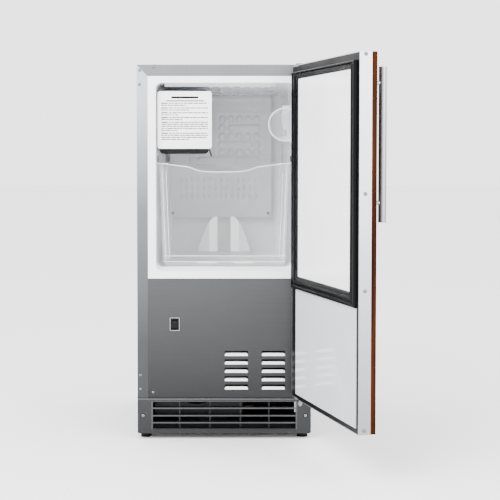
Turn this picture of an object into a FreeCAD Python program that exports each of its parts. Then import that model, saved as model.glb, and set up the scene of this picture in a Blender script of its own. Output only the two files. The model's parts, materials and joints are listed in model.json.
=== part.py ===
"""Built-in automatic ice maker: insulated cabinet, hinged door with an overlay panel, ice-making
module, clear ice bin and the refrigeration parts behind the lower panel.

Millimetres. X runs across the front (0 in the middle), Y runs into the cabinet (0 on the plane of
the cabinet's front flange) and Z runs up from the floor. The door is drawn closed, then every piece
of it is turned about the hinge pin to the angle at which it stands open.
"""

import FreeCAD, Part
import math
import os

from FreeCAD import Placement, Rotation, Vector
import Sketcher

doc = FreeCAD.newDocument("IceMaker")
sheet = doc.addObject("Spreadsheet::Sheet", "Sizes")
nodes = []


# ---------------------------------------------------------------- sizes and formulas


class Size:
    """A length that carries its number and the spreadsheet formula that it comes from."""

    def __init__(self, number, text):
        self.number = number
        self.text = text

    def __add__(self, other):
        other = as_size(other)
        return Size(self.number + other.number, f"({self.text} + {other.text})")

    def __sub__(self, other):
        other = as_size(other)
        return Size(self.number - other.number, f"({self.text} - {other.text})")

    def __mul__(self, factor):
        factor = as_size(factor)
        return Size(self.number * factor.number, f"({self.text} * {factor.text})")

    def __truediv__(self, factor):
        factor = as_size(factor)
        return Size(self.number / factor.number, f"({self.text} / {factor.text})")

    def __neg__(self):
        return Size(-self.number, f"(0 - {self.text})")

    def __radd__(self, other):
        return as_size(other) + self

    def __rsub__(self, other):
        return as_size(other) - self

    def __rmul__(self, other):
        return as_size(other) * self


def as_size(value):
    """A plain number as a Size, or the Size itself."""
    if isinstance(value, Size):
        return value
    return Size(float(value), f"({float(value):.6f})")


def cell(alias, number):
    """Write one driving dimension to the sheet and return it."""
    cell.row += 1
    sheet.set(f"A{cell.row}", alias.replace("_", " "))
    sheet.set(f"B{cell.row}", str(number))
    sheet.setAlias(f"B{cell.row}", alias)
    return Size(float(number), f"Sizes.{alias}")


cell.row = 0


def bind(target, name, value):
    """Bind one property of an object to its formula."""
    target.setExpression(name, as_size(value).text)


# ---------------------------------------------------------------- Part primitives


def place(target, x, y, z, rotation=None):
    """Put an object at a bound position, with a fixed rotation."""
    x, y, z = as_size(x), as_size(y), as_size(z)
    target.Placement = Placement(Vector(x.number, y.number, z.number), rotation or Rotation())
    bind(target, ".Placement.Base.x", x)
    bind(target, ".Placement.Base.y", y)
    bind(target, ".Placement.Base.z", z)


def box(name, x, y, z):
    """A block between two bounds on each axis."""
    item = doc.addObject("Part::Box", name)
    bind(item, "Length", as_size(x[1]) - x[0])
    bind(item, "Width", as_size(y[1]) - y[0])
    bind(item, "Height", as_size(z[1]) - z[0])
    place(item, x[0], y[0], z[0])
    return item


ALONG = {
    "X": Rotation(Vector(0, 1, 0), 90),
    "Y": Rotation(Vector(1, 0, 0), -90),
    "Z": Rotation(),
}


def rod(name, axis, centre, radius, span):
    """A cylinder along X, Y or Z: centre is its two other coordinates, span its ends."""
    item = doc.addObject("Part::Cylinder", name)
    bind(item, "Radius", radius)
    bind(item, "Height", as_size(span[1]) - span[0])
    spot = list(centre)
    spot.insert("XYZ".index(axis), span[0])
    place(item, *spot, ALONG[axis])
    return item


def taper(name, axis, centre, radii, span):
    """A cone along X, Y or Z."""
    item = doc.addObject("Part::Cone", name)
    bind(item, "Radius1", radii[0])
    bind(item, "Radius2", radii[1])
    bind(item, "Height", as_size(span[1]) - span[0])
    spot = list(centre)
    spot.insert("XYZ".index(axis), span[0])
    place(item, *spot, ALONG[axis])
    return item


def join(name, pieces):
    """The union of several pieces."""
    if len(pieces) == 1:
        pieces[0].Label = name
        return pieces[0]
    item = doc.addObject("Part::MultiFuse", name)
    item.Shapes = pieces
    return item


def cut(name, base, tools):
    """A piece with others taken out of it."""
    item = doc.addObject("Part::Cut", name)
    item.Base = base
    item.Tool = join(f"{name}_tools", tools)
    return item


# ---------------------------------------------------------------- PartDesign bodies

PLANES = {"XY": "XY_Plane", "XZ": "XZ_Plane", "YZ": "YZ_Plane"}


def new_body(name):
    """An empty PartDesign body."""
    return doc.addObject("PartDesign::Body", name)


def new_sketch(body, plane, at):
    """A sketch on one of the body's own origin planes, moved along that plane's axis."""
    sketch = body.newObject("Sketcher::SketchObject", f"{body.Name}_sketch")
    origin = [f for f in body.Origin.OriginFeatures if f.Role == PLANES[plane]][0]
    sketch.AttachmentSupport = [(origin, "")]
    sketch.MapMode = "FlatFace"
    offset = -as_size(at) if plane == "XZ" else as_size(at)
    sketch.AttachmentOffset = Placement(Vector(0, 0, offset.number), Rotation())
    bind(sketch, ".AttachmentOffset.Base.z", offset)
    return sketch


def constrain(sketch, free, bound):
    """Add constraints in one go: free ones as they are, bound ones tied to their formulas."""
    made = list(free)
    for kind, where, value in bound:
        made.append(Sketcher.Constraint(kind, *where, value.number))
    first = sketch.ConstraintCount
    sketch.addConstraint(made)
    for i, (kind, where, value) in enumerate(bound):
        bind(sketch, f"Constraints[{first + len(free) + i}]", value)


def fixed(item, point, x, y):
    """The two bound distances that tie one point to the sketch's origin."""
    where = (-1, 1, item, point)
    return [("DistanceX", where, as_size(x)), ("DistanceY", where, as_size(y))]


def polygon(sketch, points):
    """A closed outline of straight lines."""
    corners = [(as_size(x), as_size(y)) for x, y in points]
    flat = [Vector(x.number, y.number, 0) for x, y in corners]
    count = len(flat)
    first = sketch.GeometryCount
    lines = [Part.LineSegment(flat[i], flat[(i + 1) % count]) for i in range(count)]
    sketch.addGeometry(lines, False)
    free = []
    bound = []
    for i, (x, y) in enumerate(corners):
        after = first + (i + 1) % count
        free.append(Sketcher.Constraint("Coincident", first + i, 2, after, 1))
        bound += fixed(first + i, 1, x, y)
    constrain(sketch, free, bound)


def rectangle(sketch, x, y):
    """A closed rectangle between two bounds on each axis."""
    polygon(sketch, [(x[0], y[0]), (x[1], y[0]), (x[1], y[1]), (x[0], y[1])])


def circle(sketch, x, y, radius):
    """A circle with a bound centre and radius."""
    x, y, radius = as_size(x), as_size(y), as_size(radius)
    centre = Vector(x.number, y.number, 0)
    item = sketch.addGeometry(Part.Circle(centre, Vector(0, 0, 1), radius.number), False)
    constrain(sketch, [], fixed(item, 3, x, y) + [("Radius", (item,), radius)])


def rounded(sketch, x, y, radius):
    """A rectangle with four round corners: lines and arcs that stay tangent."""
    x0, x1, y0, y1 = as_size(x[0]), as_size(x[1]), as_size(y[0]), as_size(y[1])
    radius = as_size(radius)
    r = radius.number
    left, right, low, high = x0.number, x1.number, y0.number, y1.number
    sides = [
        ((left + r, low), (right - r, low)),
        ((right, low + r), (right, high - r)),
        ((right - r, high), (left + r, high)),
        ((left, high - r), (left, low + r)),
    ]
    middles = [
        (x1 - radius, y0 + radius),
        (x1 - radius, y1 - radius),
        (x0 + radius, y1 - radius),
        (x0 + radius, y0 + radius),
    ]
    first = sketch.GeometryCount
    shapes = []
    for start, end in sides:
        shapes.append(Part.LineSegment(Vector(*start, 0), Vector(*end, 0)))
    for i, (mx, my) in enumerate(middles):
        ring = Part.Circle(Vector(mx.number, my.number, 0), Vector(0, 0, 1), r)
        turn = (i - 1) * math.pi / 2
        shapes.append(Part.ArcOfCircle(ring, turn, turn + math.pi / 2))
    sketch.addGeometry(shapes, False)
    free = []
    bound = []
    for i in range(4):
        side = first + i
        arc = first + 4 + i
        following = first + (i + 1) % 4
        free.append(Sketcher.Constraint("Tangent", side, 2, arc, 1))
        free.append(Sketcher.Constraint("Tangent", arc, 2, following, 1))
        free.append(Sketcher.Constraint("Vertical" if i % 2 else "Horizontal", side))
        bound.append(("Radius", (arc,), radius))
    for i in (0, 2):
        bound += fixed(first + 4 + i, 3, *middles[i])
    constrain(sketch, free, bound)


def pad(body, sketch, plane, length):
    """Grow a sketch along its plane's positive axis."""
    feature = body.newObject("PartDesign::Pad", f"{body.Name}_pad")
    feature.Profile = sketch
    feature.Reversed = plane == "XZ"
    bind(feature, "Length", length)
    return feature


def pocket(body, sketch, plane, length):
    """Cut a sketch out along its plane's positive axis, and make sure that it cut something."""
    doc.recompute()
    before = body.Shape.Volume
    feature = body.newObject("PartDesign::Pocket", f"{body.Name}_pocket")
    feature.Profile = sketch
    feature.Reversed = plane != "XZ"
    bind(feature, "Length", length)
    doc.recompute()
    if body.Shape.Volume > before - 0.01:
        raise RuntimeError(f"{feature.Name} cuts nothing")
    return feature


def loft(body, kind, sections):
    """A ruled loft through sketches, added to the body or taken out of it."""
    feature = body.newObject(f"PartDesign::{kind}Loft", f"{body.Name}_loft")
    feature.Profile = sections[0]
    feature.Sections = sections[1:]
    feature.Ruled = True
    return feature


def slab(body, plane, draw, span, *outline):
    """Draw one outline and pad it between two bounds."""
    sketch = new_sketch(body, plane, span[0])
    draw(sketch, *outline)
    return pad(body, sketch, plane, as_size(span[1]) - span[0])


def opening(body, plane, draw, span, *outline):
    """Draw one outline and cut it out between two bounds."""
    sketch = new_sketch(body, plane, span[0])
    draw(sketch, *outline)
    return pocket(body, sketch, plane, as_size(span[1]) - span[0])


def round_edges(body, wanted, radius):
    """Round the edges of the body's last feature whose ends pass a test."""
    doc.recompute()
    base = body.Tip
    names = []
    for i, edge in enumerate(base.Shape.Edges):
        ends = [v.Point for v in edge.Vertexes]
        if len(ends) == 2 and wanted(*ends):
            names.append(f"Edge{i + 1}")
    feature = body.newObject("PartDesign::Fillet", f"{body.Name}_fillet")
    feature.Base = (base, names)
    bind(feature, "Radius", radius)
    return feature


def pipe(name, plane, at, points, radius, bend):
    """A round tube along straight runs joined by arcs, all in one plane."""
    body = new_body(name)
    spine = new_sketch(body, plane, at)
    numbers = [Vector(as_size(x).number, as_size(y).number, 0) for x, y in points]
    spot = numbers[0]
    for i in range(1, len(numbers) - 1):
        before = (numbers[i - 1] - numbers[i]).normalize()
        after = (numbers[i + 1] - numbers[i]).normalize()
        half = before.getAngle(after) / 2
        reach = bend / math.tan(half)
        start = numbers[i] + before * reach
        end = numbers[i] + after * reach
        inward = (before + after).normalize()
        middle = numbers[i] + inward * (bend / math.sin(half) - bend)
        spine.addGeometry(Part.LineSegment(spot, start), False)
        spine.addGeometry(Part.Arc(start, middle, end), False)
        spot = end
    spine.addGeometry(Part.LineSegment(spot, numbers[-1]), False)
    ring = body.newObject("Sketcher::SketchObject", f"{name}_ring")
    ring.AttachmentSupport = [(spine, "Edge1")]
    ring.MapMode = "NormalToEdge"
    ring.MapPathParameter = 0
    ring.addGeometry(Part.Circle(Vector(0, 0, 0), Vector(0, 0, 1), as_size(radius).number), False)
    ring.addConstraint(Sketcher.Constraint("Coincident", 0, 3, -1, 1))
    index = ring.addConstraint(Sketcher.Constraint("Radius", 0, as_size(radius).number))
    bind(ring, f"Constraints[{index}]", radius)
    feature = body.newObject("PartDesign::AdditivePipe", f"{name}_pipe")
    feature.Profile = ring
    feature.Spine = spine
    return body


def keep(item, name):
    """Name an object as one of the pieces that are handed over."""
    item.Label = name
    nodes.append(item)
    return item


# ---------------------------------------------------------------- driving dimensions

cabinet_width = cell("cabinet_width", 372)
cabinet_height = cell("cabinet_height", 800)
cabinet_depth = cell("cabinet_depth", 410)
sheet_steel = cell("sheet_steel", 1.2)
fit_gap = cell("fit_gap", 0.2)
flange_width = cell("flange_width", 23)
top_flange = cell("top_flange", 24)
foot_height = cell("foot_height", 12)
foot_radius = cell("foot_radius", 11.4)
kick_low = cell("kick_low", 12)
kick_high = cell("kick_high", 87)
kick_depth = cell("kick_depth", 4)
panel_low = cell("panel_low", 88)
panel_high = cell("panel_high", 345)
liner_wall = cell("liner_wall", 2.5)
cavity_half = cell("cavity_half", 146)
cavity_low = cell("cavity_low", 361)
cavity_floor = cell("cavity_floor", 368)
cavity_high = cell("cavity_high", 762)
cavity_depth = cell("cavity_depth", 330)
cavity_draft = cell("cavity_draft", 8)
lip_depth = cell("lip_depth", 22)
cavity_corner = cell("cavity_corner", 13)
deck_level = cell("deck_level", 316)
door_gap = cell("door_gap", 8)
leaf_depth = cell("leaf_depth", 24)
wood_depth = cell("wood_depth", 10)
door_low = cell("door_low", 98)
door_high = cell("door_high", 795)
edge_sheet = cell("edge_sheet", 1.6)
pin_x = cell("pin_x", 174)
pin_y = cell("pin_y", -37)
pin_radius = cell("pin_radius", 4)
open_angle = cell("open_angle", 105.6)
gasket_half = cell("gasket_half", 176)
gasket_side = cell("gasket_side", 31)
gasket_foot = cell("gasket_foot", 26)
gasket_head = cell("gasket_head", 14.5)
gasket_low = cell("gasket_low", 330)
gasket_high = cell("gasket_high", 780)
handle_reach = cell("handle_reach", 32)
handle_radius = cell("handle_radius", 7.5)
handle_inset = cell("handle_inset", 50)
handle_low = cell("handle_low", 483)
handle_high = cell("handle_high", 771.5)
post_low = cell("post_low", 519.6)
post_high = cell("post_high", 741.6)
post_radius = cell("post_radius", 3.6)
bin_wall = cell("bin_wall", 2.5)
bin_low = cell("bin_low", 368.3)
bin_high = cell("bin_high", 591)
bin_front = cell("bin_front", 22)
bin_back = cell("bin_back", 262)
plate_front = cell("plate_front", 300)
plate_thick = cell("plate_thick", 1.6)
plate_left = cell("plate_left", -128)
plate_right = cell("plate_right", 112)
plate_low = cell("plate_low", 461)
maker_left = cell("maker_left", -143)
maker_right = cell("maker_right", -27)
maker_low = cell("maker_low", 622)
maker_high = cell("maker_high", 745)
axle_x = cell("axle_x", -100)
axle_z = cell("axle_z", 690)
trough_radius = cell("trough_radius", 31)
scoop_x = cell("scoop_x", 131)
scoop_z = cell("scoop_z", 674)
scoop_radius = cell("scoop_radius", 36.5)
niche_radius = cell("niche_radius", 41)
screw_head = cell("screw_head", 2.8)
screw_shank = cell("screw_shank", 1.6)
grille_low = cell("grille_low", 20)
grille_high = cell("grille_high", 81.6)
grille_half = cell("grille_half", 156.6)
louvre_width = cell("louvre_width", 49.4)
louvre_pitch = cell("louvre_pitch", 18.1)
louvre_tall = cell("louvre_tall", 11.3)
switch_x = cell("switch_x", -106)
switch_z = cell("switch_z", 247)
fan_x = cell("fan_x", -60)
fan_z = cell("fan_z", 120)
fan_radius = cell("fan_radius", 72)
shell_x = cell("shell_x", 82)
shell_y = cell("shell_y", 280)

half = cabinet_width / 2
inside = half - sheet_steel
slip = inside - fit_gap
flange_inner = half - flange_width
top_inner = cabinet_height - top_flange
rear_inner = cabinet_depth - sheet_steel
leaf_back = -door_gap
leaf_front = -(door_gap + leaf_depth)
wood_front = leaf_front - wood_depth
foot_x = half - 16.7
foot_front = as_size(26)
foot_rear = cabinet_depth - 30


# ---------------------------------------------------------------- cabinet shell

FLANGE_SCREWS = [(-179.8, 788), (-179.8, 758), (-179.8, 137.4), (-179.8, 107.2), (-150, 795.2)]
PANEL_SCREW = (-152.5, 100.2)
KICK_SCREWS = [(-174, 50.3), (174, 50.3)]


def screws(name, spots, front, length, head=None, shank=None):
    """Identical round-headed screws that are driven in along +Y from one plane."""
    head = head or screw_head
    shank = shank or screw_shank
    pieces = []
    for x, z in spots:
        pieces.append(taper(f"{name}_head", "Y", (x, z), (head * 0.6, head), (front - 1.6, front)))
        pieces.append(rod(f"{name}_shank", "Y", (x, z), shank, (front, as_size(front) + length)))
    return pieces


def make_cabinet_wrap():
    """Sides, top and the front flange, folded from one sheet with mitred flange corners."""
    outside = box("wrap_outside", (-half, half), (0, cabinet_depth), (foot_height, cabinet_height))
    room = box(
        "wrap_room",
        (-inside, inside),
        (sheet_steel, cabinet_depth + 1),
        (foot_height - 1, cabinet_height - sheet_steel),
    )
    mouth = box("wrap_mouth", (-flange_inner, flange_inner), (-1, 2), (foot_height - 1, top_inner))
    tools = [room, mouth]
    for x, z in FLANGE_SCREWS + KICK_SCREWS:
        tools.append(rod("wrap_hole", "Y", (x, z), screw_shank, (-1, 3)))
    keep(cut("cabinet_wrap", outside, tools), "cabinet_wrap")
    front = screws("flange", FLANGE_SCREWS, 0, 9) + screws("panel", [PANEL_SCREW], 0, 8)
    front += screws("kick", KICK_SCREWS, -kick_depth, 16, 4.2, 1.6)
    for x in (-172, 172):
        for z in (60, 295):
            front.append(
                taper("back_head", "Y", (x, z), (3.4, 2), (cabinet_depth, cabinet_depth + 1.8))
            )
            front.append(rod("back_shank", "Y", (x, z), 1.5, (rear_inner - 6, cabinet_depth + 0.2)))
    keep(join("case_screws", front), "case_screws")


def make_base_pan():
    """Folded tray that carries the compressor and the four feet."""
    tray = box(
        "tray", (-slip, slip), (15, rear_inner - fit_gap), (foot_height, 34)
    )
    room = box(
        "tray_room", (-slip + 1.5, slip - 1.5), (16.5, rear_inner - 2), (foot_height + 1.5, 35)
    )
    tools = [room]
    for x in (-foot_x, foot_x):
        for y in (foot_front, foot_rear):
            tools.append(rod("foot_hole", "Z", (x, y), 4.3, (foot_height - 1, foot_height + 3)))
    keep(cut("base_pan", tray, tools), "base_pan")


def make_feet():
    """Levelling feet: a pad under the pan and a stud that runs up through it."""
    for side, x in (("left", -foot_x), ("right", foot_x)):
        for end, y in (("front", foot_front), ("rear", foot_rear)):
            name = f"levelling_foot_{end}_{side}"
            shoe = rod(f"{name}_pad", "Z", (x, y), foot_radius, (0, foot_height - 0.3))
            stud = rod(f"{name}_stud", "Z", (x, y), 4, (foot_height - 1, foot_height + 20))
            keep(join(name, [shoe, stud]), name)


def make_rear():
    """Upper back sheet and the vented lower cover, with the cord and water inlets."""
    span = (rear_inner, cabinet_depth)
    upper = new_body("rear_panel")
    slab(upper, "XZ", rectangle, span, (-slip, slip), (deck_level, cabinet_height - 1.5))
    keep(upper, "rear_panel")
    lower = new_body("rear_cover")
    slab(lower, "XZ", rectangle, span, (-slip, slip), (foot_height + 0.5, deck_level - 0.6))
    sketch = new_sketch(lower, "XZ", rear_inner - 1)
    for row in range(9):
        z = 84 + 20 * row
        for x in (-40, 60):
            rectangle(sketch, (x, x + 80), (z, z + 7))
    circle(sketch, -150, 60, 6.4)
    circle(sketch, -150, 150, 8)
    for x in (-172, 172):
        for z in (60, 295):
            circle(sketch, x, z, screw_shank)
    pocket(lower, sketch, "XZ", sheet_steel + 2)
    keep(lower, "rear_cover")


def make_front_panel():
    """Lower front panel with pressed louvres, the rocker's cut-out and its screw."""
    body = new_body("front_panel")
    half_width = flange_inner - fit_gap
    face = ((-half_width, half_width), (panel_low, panel_high - 0.2))
    slab(body, "XZ", rectangle, (0, sheet_steel), *face)
    columns = [(1.1, 1.1 + louvre_width), (80.4, 80.4 + louvre_width)]
    tops = [189.4 - louvre_pitch * row for row in range(5)]
    sketch = new_sketch(body, "XZ", -1)
    for low, high in columns:
        for top in tops:
            rectangle(sketch, (low, high), (top - louvre_tall, top))
    rectangle(sketch, (switch_x - 8.5, switch_x + 8.5), (switch_z - 12, switch_z + 12))
    circle(sketch, *PANEL_SCREW, screw_shank)
    pocket(body, sketch, "XZ", 4)
    for low, high in columns:
        sketch = new_sketch(body, "YZ", low)
        for top in tops:
            base = top - louvre_tall
            lean = [(0, base), (1.2, base - 0.4), (7.2, base + 6.4), (6.2, base + 7)]
            polygon(sketch, lean)
        pad(body, sketch, "YZ", high - low)
    keep(body, "front_panel")


def make_kick_plate():
    """Pan-shaped kick plate with its louvred insert and two screws."""
    body = new_body("kick_plate")
    wide = half - 0.6
    front = -kick_depth
    slab(body, "XZ", rectangle, (front, -0.1), (-wide, wide), (kick_low, kick_high))
    round_edges(
        body,
        lambda a, b: abs(a.x - b.x) < 0.01 and abs(a.z - b.z) < 0.01 and a.z < 20,
        5,
    )
    hollow = ((-wide + 1.2, wide - 1.2), (kick_low + 1.2, kick_high - 1.2))
    opening(body, "XZ", rectangle, (front + 1.2, 1), *hollow)
    sketch = new_sketch(body, "XZ", front - 1)
    rectangle(sketch, (-grille_half, grille_half), (grille_low, grille_high))
    for x, z in KICK_SCREWS:
        circle(sketch, x, z, 2.2)
    pocket(body, sketch, "XZ", 6)
    notch = ((148.6, 186), (kick_high - 3, kick_high + 1))
    opening(body, "XZ", rectangle, (front + 1.25, 1), *notch)
    keep(body, "kick_plate")

    louvre = new_body("kick_louvre")
    frame = ((-grille_half + 0.3, grille_half - 0.3), (grille_low + 0.3, grille_high - 0.3))
    slab(louvre, "XZ", rectangle, (front + 0.6, 12), *frame)
    opening(louvre, "XZ", rectangle, (-2.9, 0.2), (148, 186), (56, 99))
    sketch = new_sketch(louvre, "XZ", front)
    recess = new_sketch(louvre, "XZ", front)
    bars = [34.9, 50, 66.2]
    edges = [grille_low + 2.6] + bars + [grille_high - 1.2]
    ribs = [-grille_half + 2, -95.8, -30.6, 34.8, 95.8, grille_half - 2]
    for i in range(len(edges) - 1):
        low = edges[i] + (1.3 if i else 0)
        high = edges[i + 1] - (1.3 if i < len(edges) - 2 else 0)
        for k in range(len(ribs) - 1):
            rectangle(sketch, (ribs[k] + 1.4, ribs[k + 1] - 1.4), (low, high))
        rectangle(recess, (ribs[0] + 1.4, ribs[-1] - 1.4), (low, high))
    pocket(louvre, sketch, "XZ", 19)
    pocket(louvre, recess, "XZ", 3 - front)
    opening(louvre, "XZ", rectangle, (front + 0.5, 1), (ribs[0] + 1.4, ribs[-1] - 1.4), (21, 22.4))
    keep(louvre, "kick_louvre")


# ---------------------------------------------------------------- insulated compartment


def cavity_sections(body, grow):
    """Front mouth, end of the lip and back wall of the cavity, grown by a wall thickness."""
    run = lip_depth / cavity_depth
    lip_half = cavity_half - cavity_draft * run
    lip_top = cavity_high - (cavity_draft + 2) * run
    back_half = cavity_half - cavity_draft
    back_top = cavity_high - cavity_draft - 2
    stations = [
        (0, cavity_half, cavity_low, cavity_high),
        (lip_depth, lip_half, cavity_floor, lip_top),
        (cavity_depth + grow, back_half, cavity_floor, back_top),
    ]
    sketches = []
    for y, width, low, high in stations:
        sketch = new_sketch(body, "XZ", y)
        across = (-width - grow, width + grow)
        rounded(sketch, across, (low - grow, high + grow), cavity_corner + grow)
        sketches.append(sketch)
    return sketches


def make_liner():
    """White thermoformed liner with a front frame, a sloped lip and a niche for the scoop."""
    body = new_body("inner_liner")
    loft(body, "Additive", cavity_sections(body, liner_wall))
    niche = (scoop_x, scoop_z)
    slab(body, "XZ", circle, (9.5, 84.5), *niche, niche_radius + liner_wall)
    frame_half = flange_inner - fit_gap
    frame = ((-frame_half, frame_half), (panel_high, top_inner - fit_gap))
    slab(body, "XZ", rectangle, (0, liner_wall), *frame)
    loft(body, "Subtractive", cavity_sections(body, as_size(0)))
    opening(body, "XZ", circle, (12, 82), *niche, niche_radius)
    opening(body, "XZ", circle, (cavity_depth - 1, cavity_depth + 5), -100, 719, 7)
    opening(body, "XZ", circle, (cavity_depth - 1, cavity_depth + 5), 96, 520, 5)
    keep(body, "inner_liner")


def make_foam():
    """Foamed insulation that fills the space between the liner and the cabinet."""
    body = new_body("insulation_foam")
    tall = (deck_level + 1.4, cabinet_height - 1.4)
    slab(body, "XZ", rectangle, (liner_wall + 0.2, rear_inner - 0.2), (-slip, slip), tall)
    grown = liner_wall + 0.1
    loft(body, "Subtractive", cavity_sections(body, grown))
    niche = (scoop_x, scoop_z)
    opening(body, "XZ", circle, (2, 84.8), *niche, niche_radius + grown)
    opening(body, "XZ", rectangle, (cavity_depth, 402), (-107, -93), (deck_level, 729))
    opening(body, "XZ", rectangle, (cavity_depth, 402), (88, 104), (deck_level, 530))
    keep(body, "insulation_foam")
    deck = new_body("compartment_deck")
    sketch = new_sketch(deck, "XY", deck_level - 0.2)
    rectangle(sketch, (-slip, slip), (sheet_steel + 8, rear_inner - 0.4))
    rectangle(sketch, (-108, -92), (380, 404))
    rectangle(sketch, (87, 105), (360, 404))
    pad(deck, sketch, "XY", sheet_steel)
    keep(deck, "compartment_deck")


def raised_channels():
    """Round pads, long channels and rows of small drops, raised from the evaporator's face."""
    span = (plate_front - 2.2, plate_front + 0.1)
    pads = [(77, 633.5), (-74, 615), (-74, 597.5)]
    for z, count in ((693, 5), (673, 1), (652.5, 5), (615, 5)):
        for column in range(count):
            pads.append((-4 + 20.2 * column, z))
    pieces = [rod("pad", "Y", spot, 7.2, span) for spot in pads]
    for low, high, z in ((9, 85, 673), (-14, 66.5, 633.5), (-62, 85, 597.5)):
        pieces.append(box("channel", (low + 7, high - 7), span, (z - 7.2, z + 7.2)))
        for x in (low + 7, high - 7):
            pieces.append(rod("channel_end", "Y", (x, z), 7.2, span))
    for z in (505, 524, 543):
        for column in range(14):
            x = -104 + 13.5 * column
            pieces.append(box("drop", (x, x + 6.4), span, (z, z + 14)))
    return pieces


def make_evaporator():
    """Roll-bonded plate: down the back wall, bent forward under the ceiling, with raised channels."""
    body = new_body("plate_sheet")
    rear = plate_front + plate_thick
    turn = 14
    top_back = 748
    top_front = 755.5
    outline = [
        (plate_front, plate_low),
        (rear, plate_low),
        (rear, top_back - turn + 1.6),
        (rear - 4, top_back - 4),
        (rear - turn - 1, top_back + plate_thick),
        (34, top_front + plate_thick),
        (34, top_front),
        (rear - turn - 2, top_back),
        (plate_front - 4, top_back - 6),
        (plate_front, top_back - turn),
    ]
    slab(body, "YZ", polygon, (plate_left, plate_right), outline)
    holes = new_sketch(body, "XZ", plate_front - 1)
    for x in (-121.9, 105):
        circle(holes, x, 470.4, 1.85)
    circle(holes, -100, 719, 5)
    pocket(body, holes, "XZ", 4)
    keep(join("evaporator_plate", [body] + raised_channels()), "evaporator_plate")
    fixings = screws("plate", [(-121.9, 470.4), (105, 470.4)], plate_front, 20, 3.4, 1.8)
    for x in (-121.9, 105):
        spacer = rod("spacer", "Y", (x, 470.4), 6, (rear, cavity_depth))
        core = rod("spacer_bore", "Y", (x, 470.4), 1.85, (rear - 1, cavity_depth + 1))
        fixings.append(cut("spacer_ring", spacer, [core]))
    for x in (-144.2, 141.6):
        fixings.append(box("clip", (x, x + 2.4), (33, 41), (594, 600)))
        fixings.append(box("clip", (x, x + 2.4), (35, 39), (599, 607)))
    for x in (-139.7, 137.9):
        fixings.append(rod("plug", "X", (250, 479), 4, (x, x + 1.8)))
    keep(join("liner_fixings", fixings), "liner_fixings")


# ---------------------------------------------------------------- ice-making module


def make_ice_maker():
    """Modular crescent ice maker: cover, motor housing, mould, rake, stripper, arm and cup."""
    cover = new_body("icemaker_cover")
    face = ((maker_left, maker_right), (maker_low, maker_high))
    slab(cover, "XZ", rounded, (20, 48), *face, 6)
    room = ((maker_left + 2, maker_right - 2), (maker_low + 2, maker_high - 2))
    opening(cover, "XZ", rounded, (22, 49), *room, 4)
    keep(cover, "icemaker_cover")

    housing = new_body("icemaker_housing")
    slab(housing, "XZ", rounded, (48.2, 86), (-140.5, -34), (611, 750), 9)
    slab(housing, "XZ", rounded, (24, 48.4), (-138, -36), (628, 738), 5)
    opening(housing, "XZ", circle, (60, 87), axle_x, axle_z, 5.05)
    opening(housing, "XZ", circle, (60, 87), -46, 658, 1.66)
    keep(housing, "icemaker_housing")

    mould = new_body("icemaker_mould")
    slab(mould, "XZ", rectangle, (87, 256), (-136, -64), (652, 692))
    cups = 7
    step = 23
    for i in range(cups):
        low = 91 + step * i
        opening(mould, "XZ", circle, (low, low + 20), axle_x, axle_z, trough_radius)
    opening(mould, "XZ", circle, (85, 258), axle_x, axle_z, 9)
    opening(mould, "XZ", rectangle, (85, 258), (-137, -63), (axle_z - 3, axle_z + 4))
    foot = [(-136, 652), (-136, 646), (-128, 646), (-128, 652)]
    slab(mould, "XZ", polygon, (95, 248), foot)
    slab(mould, "XZ", rectangle, (256, 259), (-136, -38), (646, 702))
    opening(mould, "XZ", circle, (255, 261), -46, 658, 1.66)
    opening(mould, "XZ", circle, (255, 261), axle_x, axle_z, 9)
    keep(mould, "icemaker_mould")
    loop = [(-122, 95), (-122, 240), (-78, 240), (-78, 95)]
    heater = pipe("mould_heater", "XY", 648.2, loop, 3.6, 18)
    keep(heater, "mould_heater")

    axle = rod("axle", "Y", (axle_x, axle_z), 5, (64, 254))
    blades = [axle]
    for i in range(cups):
        middle = 101 + step * i
        blades.append(
            box(
                "blade",
                (axle_x + 2, axle_x + trough_radius - 2),
                (middle - 2.5, middle + 2.5),
                (axle_z - 1.4, axle_z + 1.8),
            )
        )
    keep(join("ejector_rake", blades), "ejector_rake")

    stripper = new_body("ice_stripper")
    sketch = new_sketch(stripper, "XY", 696)
    comb = [(-137, 88), (-137, 256), (-109, 256), (-109, 242)]
    for i in reversed(range(cups)):
        middle = 101 + step * i
        comb += [(-109, middle + 5), (-133, middle + 5), (-133, middle - 5), (-109, middle - 5)]
    comb += [(-109, 88)]
    polygon(sketch, comb)
    pad(stripper, sketch, "XY", 2.4)
    keep(stripper, "ice_stripper")

    arm = new_body("shutoff_arm")
    for name, low, high in (("front", 80, 93), ("rear", 249, 262)):
        slab(arm, "XZ", circle, (low, high), -46, 658, 1.6)
    for low in (91.4, 249):
        slab(arm, "XZ", polygon, (low, low + 3), [(-47.4, 659), (-44.6, 659), (-27, 606), (-30, 605)])
    slab(arm, "XZ", circle, (91.4, 252), -28.6, 606.6, 1.6)
    keep(arm, "shutoff_arm")

    cup = new_body("fill_cup")
    slab(cup, "XY", rounded, (702, 714), (-113, -87), (262, 290), 4)
    opening(cup, "XY", rounded, (704, 715), (-111, -89), (264, 288), 3)
    slab(cup, "XZ", rectangle, (244, 264), (-107, -93), (702.3, 705))
    keep(cup, "fill_cup")

    bracket = new_body("icemaker_bracket")
    slab(bracket, "YZ", rectangle, (-138.4, -137.1), (110, 220), (640, 722))
    keep(bracket, "icemaker_bracket")


# ---------------------------------------------------------------- bin and scoop


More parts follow.
